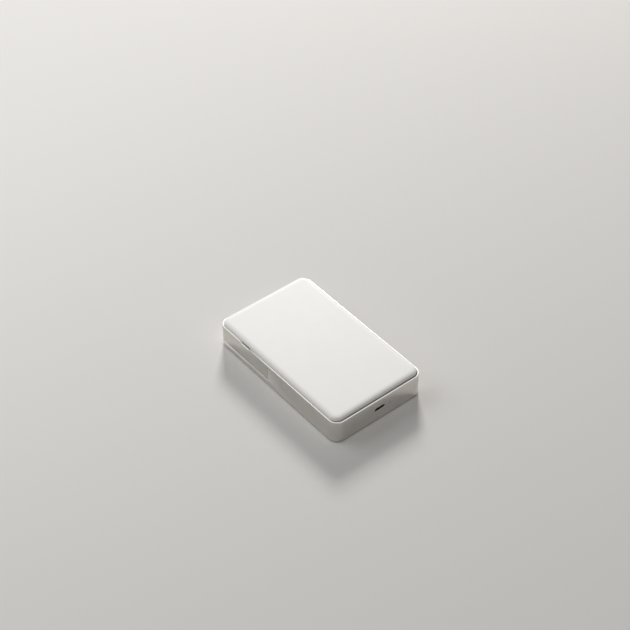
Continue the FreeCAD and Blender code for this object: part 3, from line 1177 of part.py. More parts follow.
# Gears: the motor's pinion, the two-step reduction gear, and the train to the pickup roller
def make_gears():
    width, play = read("gear_width"), read("gear_bore_play")
    shaft, post = read("shaft_radius") + play, read("post_radius") + read("shaft_play")
    teeth = {name: int(read(name + "_teeth")) for name in ("pinion", "reduction", "platen", "pickup",
                                                           "idler")}
    left = add_gear("platen_gear_left", gear_shape(teeth["platen"], width, shaft), "-gear_outer_x",
                    "platen_y", "platen_height")
    small = gear_shape(teeth["pinion"], width, post)
    large = gear_shape(teeth["reduction"], width, post)
    hub_gap = read("gear_gap")
    hub = Part.makeCylinder(read("gear_module") * teeth["pinion"] / 2 - read("gear_module") *
                            read("dedendum_share"), hub_gap, V(0, 0, 0), V(1, 0, 0))
    hub = hub.cut(Part.makeCylinder(post, 3 * hub_gap, V(-hub_gap, 0, 0), V(1, 0, 0)))
    reduction = add_gear("reduction_gear", small, "-gear_outer_x", "reduction_y", "reduction_z")
    pinion = add_gear("motor_pinion", gear_shape(teeth["pinion"], width, read("motor_shaft_radius") + play),
                      "-far_gear_outer_x", "motor_y", "motor_height")
    right = add_gear("platen_gear_right", gear_shape(teeth["platen"], width, shaft), "gear_inner_x",
                     "platen_y", "platen_height")
    idlers = []
    for number, (y, z) in zip((3, 2, 1), reversed(idler_places())):
        idlers.append(add_gear("idler_gear_%d" % number, gear_shape(teeth["idler"], width, post),
                               "gear_inner_x", y, z))
    pickup = add_gear("pickup_gear", gear_shape(teeth["pickup"], width, shaft), "gear_inner_x",
                      "pickup_y", "pickup_height")
    doc.recompute()
    # right side, from the platen gear on
    phase, last, last_teeth = 0.0, right, teeth["platen"]
    for gear, count in [(idler, teeth["idler"]) for idler in idlers] + [(pickup, teeth["pickup"])]:
        phase = next_phase(last, last_teeth, phase, gear, count)
        turn_gear(gear, phase)
        last, last_teeth = gear, count
    # left side: platen gear, small step, large step on the same hub, pinion
    small_phase = next_phase(left, teeth["platen"], 0.0, reduction, teeth["pinion"])
    pinion_phase = next_phase(reduction, teeth["reduction"], small_phase, pinion, teeth["pinion"])
    large.translate(V(-width - hub_gap, 0, 0))
    hub.translate(V(-hub_gap, 0, 0))
    reduction.Shape = small.fuse(hub).fuse(large)
    place(reduction, "-gear_outer_x", "reduction_y", "reduction_z")
    doc.recompute()
    turn_gear(reduction, small_phase)
    turn_gear(pinion, pinion_phase)
    shaft_bar = Piece("motor_shaft")
    shaft_bar.rod("X", "-far_gear_outer_x", "-frame_inner_x + motor_radius / 2",
                  ("motor_y", "motor_height"), "motor_shaft_radius")


def build():
    make_main_band()
    make_rear_cap()
    make_bottom_cover()
    make_rubber_feet()
    make_case_screws()
    make_paper_tray()
    make_mechanism_cover()
    make_catch_plates()
    make_hinge()
    make_mech_frame()
    make_bushes()
    make_posts()
    make_motor()
    make_bridge()
    make_thermal_head()
    make_rollers()
    make_paper_guide()
    make_sensor()
    make_electronics()
    make_usb()
    make_power_button()
    make_battery()
    make_inner_screws()
    make_lid_shell()
    make_lid_inside()
    make_springs()
    make_gears()
    doc.recompute()


def check_document():
    failed = [item.Label for item in doc.Objects if "Invalid" in item.State or "Error" in item.State]
    if failed:
        raise RuntimeError("these failed: " + ", ".join(failed))
    for node in NODES:
        if node.Shape.isNull() or not node.Shape.isValid() or not node.Shape.Solids:
            raise RuntimeError("%s has no sound shape" % node.Label)


def write_parts():
    os.makedirs("parts", exist_ok=True)
    for node in NODES:
        node.Shape.exportStep("parts/%s.step" % node.Label)
        print("%-20s %2d solids %9.2f mm3" % (node.Label, len(node.Shape.Solids), node.Shape.Volume))
    box = FreeCAD.BoundBox()
    for node in NODES:
        box.add(node.Shape.BoundBox)
    print("nodes", len(NODES), "box", box)


build()
check_document()
write_parts()
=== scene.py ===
# Looks of a compact photo printer: a white lid on a silver box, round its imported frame
import json
import math
import bmesh
import bpy
from mathutils import Matrix, Vector


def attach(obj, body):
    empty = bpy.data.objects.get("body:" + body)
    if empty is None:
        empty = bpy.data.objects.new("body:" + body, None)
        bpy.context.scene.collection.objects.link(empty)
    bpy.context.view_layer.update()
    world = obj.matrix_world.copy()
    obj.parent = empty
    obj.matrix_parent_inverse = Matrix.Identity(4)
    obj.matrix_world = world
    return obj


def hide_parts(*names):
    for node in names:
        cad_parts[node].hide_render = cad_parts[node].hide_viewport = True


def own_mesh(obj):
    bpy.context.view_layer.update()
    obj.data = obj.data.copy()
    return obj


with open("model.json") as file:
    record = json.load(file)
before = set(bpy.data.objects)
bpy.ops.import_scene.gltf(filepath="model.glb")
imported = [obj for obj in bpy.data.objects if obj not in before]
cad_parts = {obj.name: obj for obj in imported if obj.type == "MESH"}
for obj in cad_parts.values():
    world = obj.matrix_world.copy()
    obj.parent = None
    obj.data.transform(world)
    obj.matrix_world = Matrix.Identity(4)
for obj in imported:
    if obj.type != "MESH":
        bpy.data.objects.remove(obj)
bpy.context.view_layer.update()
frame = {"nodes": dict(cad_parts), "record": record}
NODE_BODY = {node: body for body, nodes in frame["record"]["behaviour"]["bodies"].items() for node in nodes}

# Metres in a millimetre, and how near in metres two places count as one
MM, NEAR = 0.001, 0.00001
# How far tools that split the case reach in x, y and z, and how far others run past a face, in millimetres
FAR_X, FAR_Y, FAR_Z, OVER = 50, 70, 30, 1
# Sides of round pieces and tools, from screw holes to the notch's wide arcs
HOLE_SIDES, PIN_SIDES, HEAD_SIDES, ROD_SIDES, ARC_SIDES = 24, 32, 40, 64, 128
# Steps in a bevel that rounds the case's corners, a long hole's ends, the port's ends and the lid's edge
CORNER_STEPS, PILL_STEPS, PORT_STEPS, PILLOW_STEPS = 32, 16, 20, 18
# Degrees: edges sharper than this are broken, and faces that meet flatter than this are shaded as one
SHARP, SMOOTH = 50, 35


# Bench tools: small steps that every piece is shaped with

def put_down():
    """Leaves edit mode and selects nothing."""
    if bpy.context.mode != "OBJECT":
        bpy.ops.object.mode_set(mode="OBJECT")
    bpy.ops.object.select_all(action="DESELECT")


def take(piece):
    """Selects one piece and nothing else."""
    put_down()
    piece.select_set(True)
    bpy.context.view_layer.objects.active = piece


def settle(name):
    """Names the new primitive and moves its place and size into its mesh."""
    piece = bpy.context.object
    piece.name = name
    piece.data.name = name
    bpy.ops.object.transform_apply(location=True, rotation=True, scale=True)
    return piece


def block(name, low, high):
    """A box between two corners in millimetres."""
    low, high = Vector(low) * MM, Vector(high) * MM
    put_down()
    bpy.ops.mesh.primitive_cube_add(size=1, location=(low + high) / 2)
    bpy.context.object.scale = high - low
    return settle(name)


AXIS_TURN = {"X": (0, math.pi / 2, 0), "Y": (-math.pi / 2, 0, 0), "Z": (0, 0, 0)}


def rod(name, axis, start, end, centre, radius, sides=ROD_SIDES):
    """A round bar along an axis in millimetres; centre is its place on the other two axes."""
    middle = (start + end) / 2
    place = {"X": (middle, *centre), "Y": (centre[0], middle, centre[1]), "Z": (*centre, middle)}[axis]
    put_down()
    bpy.ops.mesh.primitive_cylinder_add(vertices=sides, radius=radius * MM, depth=(end - start) * MM,
                                        location=Vector(place) * MM, rotation=AXIS_TURN[axis])
    return settle(name)


def pick(piece, kind, test):
    """Opens the piece in edit mode with the vertices, edges or faces that pass the test selected."""
    take(piece)
    bpy.ops.object.mode_set(mode="EDIT")
    bpy.ops.mesh.select_mode(type=kind)
    bpy.ops.mesh.select_all(action="DESELECT")
    shape = bmesh.from_edit_mesh(piece.data)
    parts = {"VERT": shape.verts, "EDGE": shape.edges, "FACE": shape.faces}[kind]
    for part in parts:
        if test(part):
            part.select_set(True)
    shape.select_flush_mode()
    bmesh.update_edit_mesh(piece.data)


def along(axis):
    """A test for edges that run along an axis."""
    others = [i for i in range(3) if i != "XYZ".index(axis)]

    def test(edge):
        a, b = (v.co for v in edge.verts)
        return all(abs(a[i] - b[i]) < NEAR for i in others)
    return test


def level_edge(height):
    """A test for edges that lie at a height in millimetres."""
    return lambda edge: all(abs(v.co.z - height * MM) < NEAR for v in edge.verts)


def looks_down(face):
    """Whether a face looks straight down."""
    return face.normal.z < -0.99


def bevel_chosen(width, segments, profile=0.5):
    """Bevels the selected edges by a width in millimetres, and closes the piece."""
    bpy.ops.mesh.bevel(offset=width * MM, offset_type="OFFSET", segments=segments, profile=profile,
                       affect="EDGES", clamp_overlap=False)
    put_down()


def slab(name, half_x, front, back, radius, low, high, segments=CORNER_STEPS):
    """A flat slab with round upright corners, from y front to y back."""
    piece = block(name, (-half_x, front, low), (half_x, back, high))
    pick(piece, "EDGE", along("Z"))
    bevel_chosen(radius, segments)
    return piece


def inner_slab(name, inset, low, high):
    """A slab that follows the case's outline at an inset from it."""
    return slab(name, HALF_X - inset, -HALF_Y + inset, HALF_Y - inset, CORNER - inset, low, high)


def pill(name, axis, start, end, centre, half_long, half_high, segments=PILL_STEPS):
    """A long hole's shape along X or Y, with its long side level."""
    if axis == "Y":
        low = (centre[0] - half_long, start, centre[1] - half_high)
        high = (centre[0] + half_long, end, centre[1] + half_high)
    else:
        low = (start, centre[0] - half_long, centre[1] - half_high)
        high = (end, centre[0] + half_long, centre[1] + half_high)
    piece = block(name, low, high)
    pick(piece, "EDGE", along(axis))
    # A hair less than the half height, so that the two ends' bevels don't meet in one line
    bevel_chosen(half_high * 0.999, segments)
    return piece


def work(piece, tool, operation):
    """Applies one boolean step with a tool, which is used up."""
    take(piece)
    step = piece.modifiers.new("step", "BOOLEAN")
    step.object = tool
    step.operation = operation
    step.solver = "EXACT"
    bpy.ops.object.modifier_apply(modifier=step.name)
    bpy.data.objects.remove(tool)


def cut(piece, *tools):
    for tool in tools:
        work(piece, tool, "DIFFERENCE")


def weld(piece, *tools):
    for tool in tools:
        work(piece, tool, "UNION")


def soften(piece, width, segments=2, angle=SHARP):
    """Breaks the sharp edges and shades the piece smooth with true flats."""
    take(piece)
    bpy.ops.object.shade_smooth()
    step = piece.modifiers.new("edges", "BEVEL")
    step.width = width * MM
    step.segments = segments
    step.limit_method = "ANGLE"
    step.angle_limit = math.radians(angle)
    step.use_clamp_overlap = True
    step.harden_normals = True
    bpy.ops.object.modifier_apply(modifier=step.name)


def smooth(piece):
    take(piece)
    bpy.ops.object.shade_smooth_by_angle(angle=math.radians(SMOOTH))


def copies(piece, places):
    """The piece repeated at places given in millimetres, each copy with its own mesh, as one object."""
    made = []
    for place in places:
        other = piece.copy()
        other.data = piece.data.copy()
        bpy.context.scene.collection.objects.link(other)
        other.data.transform(Matrix.Translation(Vector(place) * MM))
        made.append(other)
    bpy.data.objects.remove(piece)
    put_down()
    for other in made:
        other.select_set(True)
    bpy.context.view_layer.objects.active = made[0]
    bpy.ops.object.join()
    return bpy.context.object


def clothe(piece, name, finish):
    """The piece takes its name and its finish."""
    put_down()
    piece.name = name
    piece.data.name = name
    piece.data.materials.clear()
    piece.data.materials.append(finish)


def fit(piece, name, node, finish):
    """The piece takes its name, its finish and its body, and stands for a CAD node."""
    clothe(piece, name, finish)
    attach(piece, NODE_BODY[node])
    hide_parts(node)


def dress(node, name, finish, width):
    """A smooth copy of a CAD node, its doubled corners merged, and its edges broken if a width is given."""
    source = frame["nodes"][node]
    piece = bpy.data.objects.new(name, source.data.copy())
    bpy.context.scene.collection.objects.link(piece)
    take(piece)
    bpy.ops.object.mode_set(mode="EDIT")
    bpy.ops.mesh.select_all(action="SELECT")
    bpy.ops.mesh.remove_doubles(threshold=NEAR / 10)
    bpy.ops.mesh.customdata_custom_splitnormals_clear()
    # Only faces that lie in one plane to half a degree become one
    bpy.ops.mesh.dissolve_limited(angle_limit=math.radians(0.5))
    put_down()
    if width:
        soften(piece, width, segments=1)
    else:
        smooth(piece)
    fit(piece, name, node, finish)


# Finishes: shared effects first, then one material for each real finish

# The colour sockets of a Mix node
FIRST_COLOUR, SECOND_COLOUR, MIXED_COLOUR = 6, 7, 2


def colour(red, green, blue):
    return (red, green, blue, 1)


def effect(name, inputs):
    """A group that puts out a colour, a roughness and a height."""
    group = bpy.data.node_groups.new(name, "ShaderNodeTree")
    for label, kind, value in inputs:
        socket = group.interface.new_socket(name=label, in_out="INPUT", socket_type=kind)
        socket.default_value = value
    for label, kind in (("Colour", "NodeSocketColor"), ("Roughness", "NodeSocketFloat"),
                        ("Height", "NodeSocketFloat")):
        group.interface.new_socket(name=label, in_out="OUTPUT", socket_type=kind)
    return group, group.nodes.new("NodeGroupInput"), group.nodes.new("NodeGroupOutput")


def add(tree, kind, inputs=None, **settings):
    """A node with its settings made, and with its inputs set or linked."""
    node = tree.nodes.new(kind)
    for key, value in settings.items():
        setattr(node, key, value)
    for key, value in (inputs or {}).items():
        if isinstance(value, bpy.types.NodeSocket):
            tree.links.new(value, node.inputs[key])
        else:
            node.inputs[key].default_value = value
    return node


def on_piece(tree):
    """Places in the piece's own frame, which a pattern keeps to when the piece moves."""
    return add(tree, "ShaderNodeTexCoord").outputs["Object"]


def sums(tree, operation, *values):
    """One step of arithmetic on values or sockets."""
    return add(tree, "ShaderNodeMath", dict(enumerate(values)), operation=operation).outputs[0]


def noise(tree, place, scale, detail=3.0, roughness=0.55):
    return add(tree, "ShaderNodeTexNoise", {"Vector": place, "Scale": scale, "Detail": detail,
                                            "Roughness": roughness}).outputs["Fac"]


def spread(tree, value, low, high, from_low=0.3, from_high=0.7):
    """A value's usual range stretched between two others."""
    return add(tree, "ShaderNodeMapRange", {"Value": value, "From Min": from_low, "From Max": from_high,
                                            "To Min": low, "To Max": high}).outputs["Result"]


def blend(tree, factor, first, second):
    """A colour that goes from the first to the second as the factor rises."""
    mix = add(tree, "ShaderNodeMix", {"Factor": factor, FIRST_COLOUR: first, SECOND_COLOUR: second},
              data_type="RGBA")
    return mix.outputs[MIXED_COLOUR]


def give_out(group, ins, outs, shade, swing, height):
    """Darkens the colour by the shade, swings the roughness, and passes the height on."""
    amount = sums(group, "MULTIPLY", shade, ins.outputs["Drift"])
    group.links.new(blend(group, amount, ins.outputs["Colour"], colour(0, 0, 0)), outs.inputs["Colour"])
    rough = sums(group, "MULTIPLY_ADD", swing, ins.outputs["Roughness Spread"], ins.outputs["Roughness"])
    group.links.new(rough, outs.inputs["Roughness"])
    group.links.new(height, outs.inputs["Height"])


def make_moulding():
    """Fine texture of a moulded part: grain in its height, a slow drift in its colour and its roughness."""
    group, ins, outs = effect("moulding", [
        ("Colour", "NodeSocketColor", colour(0.8, 0.8, 0.8)), ("Drift", "NodeSocketFloat", 0.03),
        ("Grain Scale", "NodeSocketFloat", 3000.0), ("Roughness", "NodeSocketFloat", 0.5),
        ("Roughness Spread", "NodeSocketFloat", 0.06)])
    place = on_piece(group)
    shade = spread(group, noise(group, place, 45.0, 2.0), 1.0, 0.0)
    grain = noise(group, place, ins.outputs["Grain Scale"], 2.0, 0.6)
    swing = spread(group, noise(group, place, 160.0), -1.0, 1.0)
    give_out(group, ins, outs, shade, swing, grain)
    return group


def make_brushing():
    """Fine lines drawn along one axis, for rolled, drawn and ground metal."""
    group, ins, outs = effect("brushing", [
        ("Stretch", "NodeSocketVector", (40.0, 6000.0, 6000.0)),
        ("Colour", "NodeSocketColor", colour(0.6, 0.6, 0.6)), ("Roughness", "NodeSocketFloat", 0.3),
        ("Roughness Spread", "NodeSocketFloat", 0.08), ("Drift", "NodeSocketFloat", 0.12)])
    drawn = add(group, "ShaderNodeVectorMath", {0: on_piece(group), 1: ins.outputs["Stretch"]},
                operation="MULTIPLY").outputs[0]
    lines = noise(group, drawn, 1.0, 3.0, 0.65)
    give_out(group, ins, outs, spread(group, lines, 1.0, 0.0), spread(group, lines, -1.0, 1.0), lines)
    return group


MOULDING = make_moulding()
BRUSHING = make_brushing()


def bare(name, **constants):
    """A new material, its tree and its shader, with plain values on the shader's sockets."""
    finish = bpy.data.materials.new(name)
    finish.use_nodes = True
    tree = finish.node_tree
    shader = tree.nodes["Principled BSDF"]
    for label, value in constants.items():
        shader.inputs[label.replace("_", " ")].default_value = value
    return finish, tree, shader


def raise_relief(tree, shader, height, strength, distance):
    """A relief of a depth in millimetres, from a height that changes over the surface."""
    bump = add(tree, "ShaderNodeBump", {"Strength": strength, "Distance": distance * MM, "Height": height})
    tree.links.new(bump.outputs["Normal"], shader.inputs["Normal"])


def use_group(tree, shader, group, strength, distance, **values):
    part = tree.nodes.new("ShaderNodeGroup")
    part.node_tree = group
    for label, value in values.items():
        part.inputs[label.replace("_", " ")].default_value = value
    tree.links.new(part.outputs["Colour"], shader.inputs["Base Color"])
    tree.links.new(part.outputs["Roughness"], shader.inputs["Roughness"])
    raise_relief(tree, shader, part.outputs["Height"], strength, distance)


def moulded(name, tint, rough=0.5, grain=3000.0, strength=0.25, distance=0.02, drift=0.04, patchy=0.05,
            **constants):
    finish, tree, shader = bare(name, **constants)
    use_group(tree, shader, MOULDING, strength, distance, Colour=tint, Drift=drift, Grain_Scale=grain,
              Roughness=rough, Roughness_Spread=patchy)
    return finish


def drawn_metal(name, tint, stretch, rough=0.3, drift=0.12):
    finish, tree, shader = bare(name, Metallic=1.0)
    use_group(tree, shader, BRUSHING, 0.1, 0.01, Colour=tint, Stretch=stretch, Roughness=rough,
              Roughness_Spread=0.07, Drift=drift)
    return finish


def make_plated_silver():
    """Satin electroplate on a moulded wall: a soft mirror with a faint waviness."""
    finish, tree, shader = bare("plated_silver", Metallic=1.0)
    place = on_piece(tree)
    tint = blend(tree, noise(tree, place, 70.0), colour(0.640, 0.618, 0.588), colour(0.672, 0.652, 0.625))
    tree.links.new(tint, shader.inputs["Base Color"])
    tree.links.new(spread(tree, noise(tree, place, 260.0, 4.0), 0.29, 0.35), shader.inputs["Roughness"])
    wave = add(tree, "ShaderNodeBump", {"Strength": 0.12, "Distance": 0.02 * MM,
                                        "Height": noise(tree, place, 120.0, 2.0)})
    grain = add(tree, "ShaderNodeBump", {"Strength": 0.06, "Distance": 0.006 * MM,
                                         "Height": noise(tree, place, 5200.0, 2.0),
                                         "Normal": wave.outputs["Normal"]})
    tree.links.new(grain.outputs["Normal"], shader.inputs["Normal"])
    return finish


PLATED_SILVER = make_plated_silver()
WHITE_LID = moulded("matt_white_lid", colour(0.86, 0.852, 0.835), rough=0.5, grain=5200.0, strength=0.14,
                    distance=0.012, drift=0.004, patchy=0.015)
INNER_GREY = moulded("grey_moulding", colour(0.30, 0.31, 0.32), rough=0.55, grain=2600.0, strength=0.3,
                     distance=0.03, drift=0.06)
LINER_GREY = moulded("liner_moulding", colour(0.34, 0.345, 0.355), rough=0.5, grain=2200.0, strength=0.3,
                     distance=0.03, drift=0.05)
BASE_GREY = moulded("base_moulding", colour(0.66, 0.66, 0.65), rough=0.5, grain=1900.0, strength=0.4,
                    distance=0.04, drift=0.05)
BLACK_PLASTIC = moulded("black_moulding", colour(0.028, 0.028, 0.03), rough=0.45, grain=2400.0,
                        strength=0.25, distance=0.02, drift=0.2)
RUBBER = moulded("soft_rubber", colour(0.045, 0.045, 0.048), rough=0.78, grain=3800.0, strength=0.5,
                 distance=0.04, drift=0.25)
ROLLER_RUBBER = moulded("roller_rubber", colour(0.07, 0.07, 0.072), rough=0.7, grain=5200.0, strength=0.35,
                        distance=0.02, drift=0.2)
ACETAL = moulded("natural_acetal", colour(0.80, 0.78, 0.70), rough=0.34, grain=1500.0, strength=0.08,
                 distance=0.01, drift=0.05, Subsurface_Weight=0.12, Subsurface_Scale=0.001)
CERAMIC = moulded("fired_ceramic", colour(0.82, 0.79, 0.71), rough=0.28, grain=4200.0, strength=0.12,
                  distance=0.008, drift=0.05)
BATTERY_WRAP = moulded("battery_foil", colour(0.36, 0.37, 0.39), rough=0.33, grain=240.0, strength=0.35,
                       distance=0.12, drift=0.12, Metallic=0.85)
CLEAR_PLASTIC = moulded("clear_moulding", colour(0.86, 0.87, 0.86), rough=0.16, grain=900.0, strength=0.05,
                        distance=0.01, drift=0.02, Transmission_Weight=0.6, IOR=1.49)
SMOKED_PLASTIC = moulded("smoked_moulding", colour(0.02, 0.02, 0.022), rough=0.2, grain=900.0, strength=0.05,
                         distance=0.01, drift=0.02)
PLATED_STEEL = drawn_metal("zinc_plated_steel", colour(0.50, 0.505, 0.515), (220.0, 5200.0, 5200.0),
                           rough=0.34)
GROUND_STEEL = drawn_metal("ground_shaft_steel", colour(0.64, 0.64, 0.65), (5200.0, 300.0, 300.0), rough=0.2)
SPRING_STEEL = drawn_metal("spring_wire", colour(0.52, 0.52, 0.53), (900.0, 900.0, 5200.0), rough=0.28)
STAINLESS = drawn_metal("stainless_shell", colour(0.62, 0.61, 0.60), (3200.0, 140.0, 3200.0), rough=0.24)
ALUMINIUM = drawn_metal("extruded_aluminium", colour(0.66, 0.67, 0.68), (60.0, 4200.0, 4200.0), rough=0.36)
BRASS = drawn_metal("machined_brass", colour(0.74, 0.55, 0.25), (2600.0, 500.0, 500.0), rough=0.25)
NICKEL = drawn_metal("nickel_magnet", colour(0.66, 0.655, 0.64), (1800.0, 1800.0, 400.0), rough=0.22)


def make_circuit_board():
    """Green mask over copper: tracks that stand a little proud under the mask, and small bare pads."""
    finish, tree, shader = bare("green_circuit_board", Specular_IOR_Level=0.5, Coat_Roughness=0.15)
    place = on_piece(tree)
    track = add(tree, "ShaderNodeTexBrick", {"Vector": place, "Scale": 520.0, "Mortar Size": 0.16,
                                             "Mortar Smooth": 0.1, "Brick Width": 1.7, "Row Height": 0.55},
                offset=0.37).outputs["Fac"]
    from_pad = add(tree, "ShaderNodeTexVoronoi", {"Vector": place, "Scale": 330.0},
                   feature="F1").outputs["Distance"]
    bare_pad = spread(tree, from_pad, 1.0, 0.0, 0.16, 0.2)
    mask = blend(tree, track, colour(0.012, 0.11, 0.05), colour(0.03, 0.22, 0.10))
    tree.links.new(blend(tree, bare_pad, mask, colour(0.68, 0.52, 0.24)), shader.inputs["Base Color"])
    tree.links.new(bare_pad, shader.inputs["Metallic"])
    tree.links.new(spread(tree, noise(tree, place, 900.0), 0.24, 0.34), shader.inputs["Roughness"])
    raise_relief(tree, shader, track, 0.3, 0.02)
    return finish


def make_wire_pair():
    """A black wire and a red one, side by side across the middle."""
    finish, tree, shader = bare("battery_wires")
    place = on_piece(tree)
    across = add(tree, "ShaderNodeSeparateXYZ", {"Vector": place}).outputs["X"]
    side = sums(tree, "GREATER_THAN", across, 0.0)
    tree.links.new(blend(tree, side, colour(0.03, 0.03, 0.03), colour(0.55, 0.03, 0.02)),
                   shader.inputs["Base Color"])
    tree.links.new(spread(tree, noise(tree, place, 1400.0), 0.35, 0.45), shader.inputs["Roughness"])
    raise_relief(tree, shader, noise(tree, place, 3000.0), 0.15, 0.02)
    return finish


def make_flat_cable():
    """Amber film with copper tracks that run along it."""
    finish, tree, shader = bare("amber_flat_cable")
    place = on_piece(tree)
    up = add(tree, "ShaderNodeSeparateXYZ", {"Vector": place}).outputs["Z"]
    # Two tracks to each millimetre of height
    step = sums(tree, "FRACT", sums(tree, "MULTIPLY", up, 2.0 / MM))
    track = sums(tree, "GREATER_THAN", step, 0.45)
    tree.links.new(blend(tree, track, colour(0.42, 0.20, 0.03), colour(0.58, 0.33, 0.10)),
                   shader.inputs["Base Color"])
    tree.links.new(spread(tree, noise(tree, place, 700.0), 0.2, 0.32), shader.inputs["Roughness"])
    raise_relief(tree, shader, track, 0.3, 0.02)
    return finish


CIRCUIT_BOARD = make_circuit_board()
WIRE_PAIR = make_wire_pair()
FLAT_CABLE = make_flat_cable()
GOLD = drawn_metal("gold_contacts", colour(0.83, 0.62, 0.28), (900.0, 200.0, 900.0), rough=0.22, drift=0.08)


# Sizes and places of the case, in millimetres, from its middle and the table it stands on

HALF_X, HALF_Y, CORNER = 37.5, 62.0, 7.0
RIM_TOP, LID_TOP = 18.3, 20.5
WALL, RIM_LAND, SEAT, RIM_ROUND = 1.6, 0.9, 17.6, 0.25
SEAM_Y, SEAM_Z, SEAM_GAP, LIP_BEVEL = 7.7, 4.6, 0.15, 0.2
FOOT_STAND, COVER_TOP, LEDGE, PLAY = 0.5, 1.7, 0.8, 0.1
NOTCH_Y, NOTCH_LONG, NOTCH_FLAT, NOTCH_DEEP = 32.4, 11.2, 5.0, 1.1
POCKET_LOW, POCKET_TOP = 12.0, 18.1

LID_X, LID_BACK, LID_FRONT, LID_CORNER, LID_CORNER_STEPS = 36.5, 61.0, -60.3, 6.0, 28
LID_LOW, PILLOW_START, PILLOW, SKIRT, LID_UNDER = 17.75, 18.6, 4.5, 1.0, 19.3
GRIP_HALF, GRIP_DEEP, GRIP_TOP = 4.4, 0.7, 18.45
# A bevel profile a little fuller than round
FULL_PROFILE = 0.6

SIDE_BOSSES = [(x, y) for x in (-34.1, 34.1) for y in (-50, -2)]
REAR_BOSSES = [(-22, 58.1), (22, 58.1)]
BOSS_RADIUS, BOSS_TOP, PILOT_RADIUS, PILOT_TOP, WEB_HALF = 2.2, 7.7, 0.85, 6.3, 1.2
SHANK_RADIUS, SHANK_LONG, HEAD_RADIUS, HEAD_HIGH, CLEAR_RADIUS = 0.78, 3.8, 1.5, 0.8, 0.9
RECESS_LONG, RECESS_HALF, RECESS_DEEP = 1.0, 0.15, 0.4

EXIT_HALF, EXIT_LOW, EXIT_HIGH, EXIT_FRONT = 27.5, 11.3, 14.3, 56
SHELF_FRONT, SHELF_LOW, IN_WALL_Y = 57.4, 10.3, 61.2
TONGUE_Y, TONGUE_HALF, TONGUE_LOW, TONGUE_TOP = (13.85, 49.0), 3, 3.0, 6.2
TONGUE_IN, TONGUE_OUT, IN_WALL_X = 35.1, 35.8, 36.4

FEET = [(x, y) for x in (-27, 27) for y in (-49, 49)]
FOOT_RADIUS, FOOT_SEAT, TREAD_RIM, TREAD_STEP, TREAD_DEEP = 4.0, 0.4, 0.7, 0.25, 0.12

PORT_FRONT, PORT_BACK, PORT_Z, PORT_HALF_X, PORT_HALF_Z, PORT_WALL = -61.7, -54.4, 10.1, 4.47, 1.63, 0.3
BLADE_HALF_X, BLADE_HALF_Z, BLADE_SET_BACK, BLADE_CHAMFER = 3.35, 0.35, 1.0, 0.5
BLADE_ROOT_HALF, BLADE_ROOT_LONG = 2.75, 1.0
CONTACTS, CONTACT_PITCH, CONTACT_HALF, CONTACT_PROUD = 12, 0.5, 0.12, 0.02
CONTACT_START, CONTACT_END = 1.5, 5.2
PORT_HOLE_BACK, LIGHT_X, LIGHT_Z, LIGHT_HOLE = -59, 8.8, 9.8, 0.6
BUTTON_Y, BUTTON_Z, BUTTON_HOLE_LONG, BUTTON_HOLE_HIGH = -30, 10.2, 4.6, 1.4
SIDE_HOLE_START, SIDE_HOLE_END = 35, 40


# Lid: a white moulding whose edge falls away like a pillow

def make_lid():
    full_top = PILLOW_START + PILLOW
    lid = slab("lid", LID_X, LID_FRONT, LID_BACK, LID_CORNER, LID_LOW, full_top, LID_CORNER_STEPS)
    pick(lid, "EDGE", level_edge(full_top))
    bevel_chosen(PILLOW, PILLOW_STEPS, FULL_PROFILE)
    pick(lid, "VERT", lambda v: v.co.z > PILLOW_START * MM + NEAR)
    bpy.ops.transform.resize(value=(1, 1, (LID_TOP - PILLOW_START) / PILLOW),
                             center_override=(0, 0, PILLOW_START * MM))
    put_down()
    pick(lid, "FACE", looks_down)
    bpy.ops.mesh.inset(thickness=SKIRT * MM, depth=0)
    bpy.ops.mesh.extrude_region_move(TRANSFORM_OT_translate={"value": (0, 0, (LID_UNDER - LID_LOW) * MM)})
    put_down()
    cut(lid, block("finger_grip", (-LID_X - OVER, NOTCH_Y - GRIP_HALF, LID_LOW - OVER),
                   (-LID_X + GRIP_DEEP, NOTCH_Y + GRIP_HALF, GRIP_TOP)))
    soften(lid, 0.08, angle=60)
    fit(lid, "lid_skin", "lid_shell", WHITE_LID)


# Walls: the silver band with its low lip, and the cap that stands on the lip

def wall_ring(name, low, base_round, segments):
    """The case's whole wall from a height up, with its rim rounded and a seat for the lid inside the rim."""
    ring = slab(name, HALF_X, -HALF_Y, HALF_Y, CORNER, low, RIM_TOP)
    pick(ring, "EDGE", level_edge(low))
    bevel_chosen(base_round, segments)
    pick(ring, "EDGE", level_edge(RIM_TOP))
    bevel_chosen(RIM_ROUND, 3)
    cut(ring, inner_slab("bore", WALL, -OVER, RIM_TOP + OVER),
        inner_slab("seat", RIM_LAND, SEAT, RIM_TOP + OVER))
    return ring


def add_boss(wall, place):
    """Welds a screw boss to a wall and drills it."""
    weld(wall, rod("boss", "Z", COVER_TOP, BOSS_TOP, place, BOSS_RADIUS, HEAD_SIDES))
    cut(wall, rod("pilot", "Z", COVER_TOP - OVER, PILOT_TOP, place, PILOT_RADIUS, HOLE_SIDES))


def on_outline(vertex):
    """Whether a vertex lies on the outer face of the walls."""
    x, y = abs(vertex.co.x) / MM, abs(vertex.co.y) / MM
    past_x, past_y = max(0, x - HALF_X + CORNER), max(0, y - HALF_Y + CORNER)
    return abs(math.hypot(past_x, past_y) - CORNER) * MM < 2 * NEAR


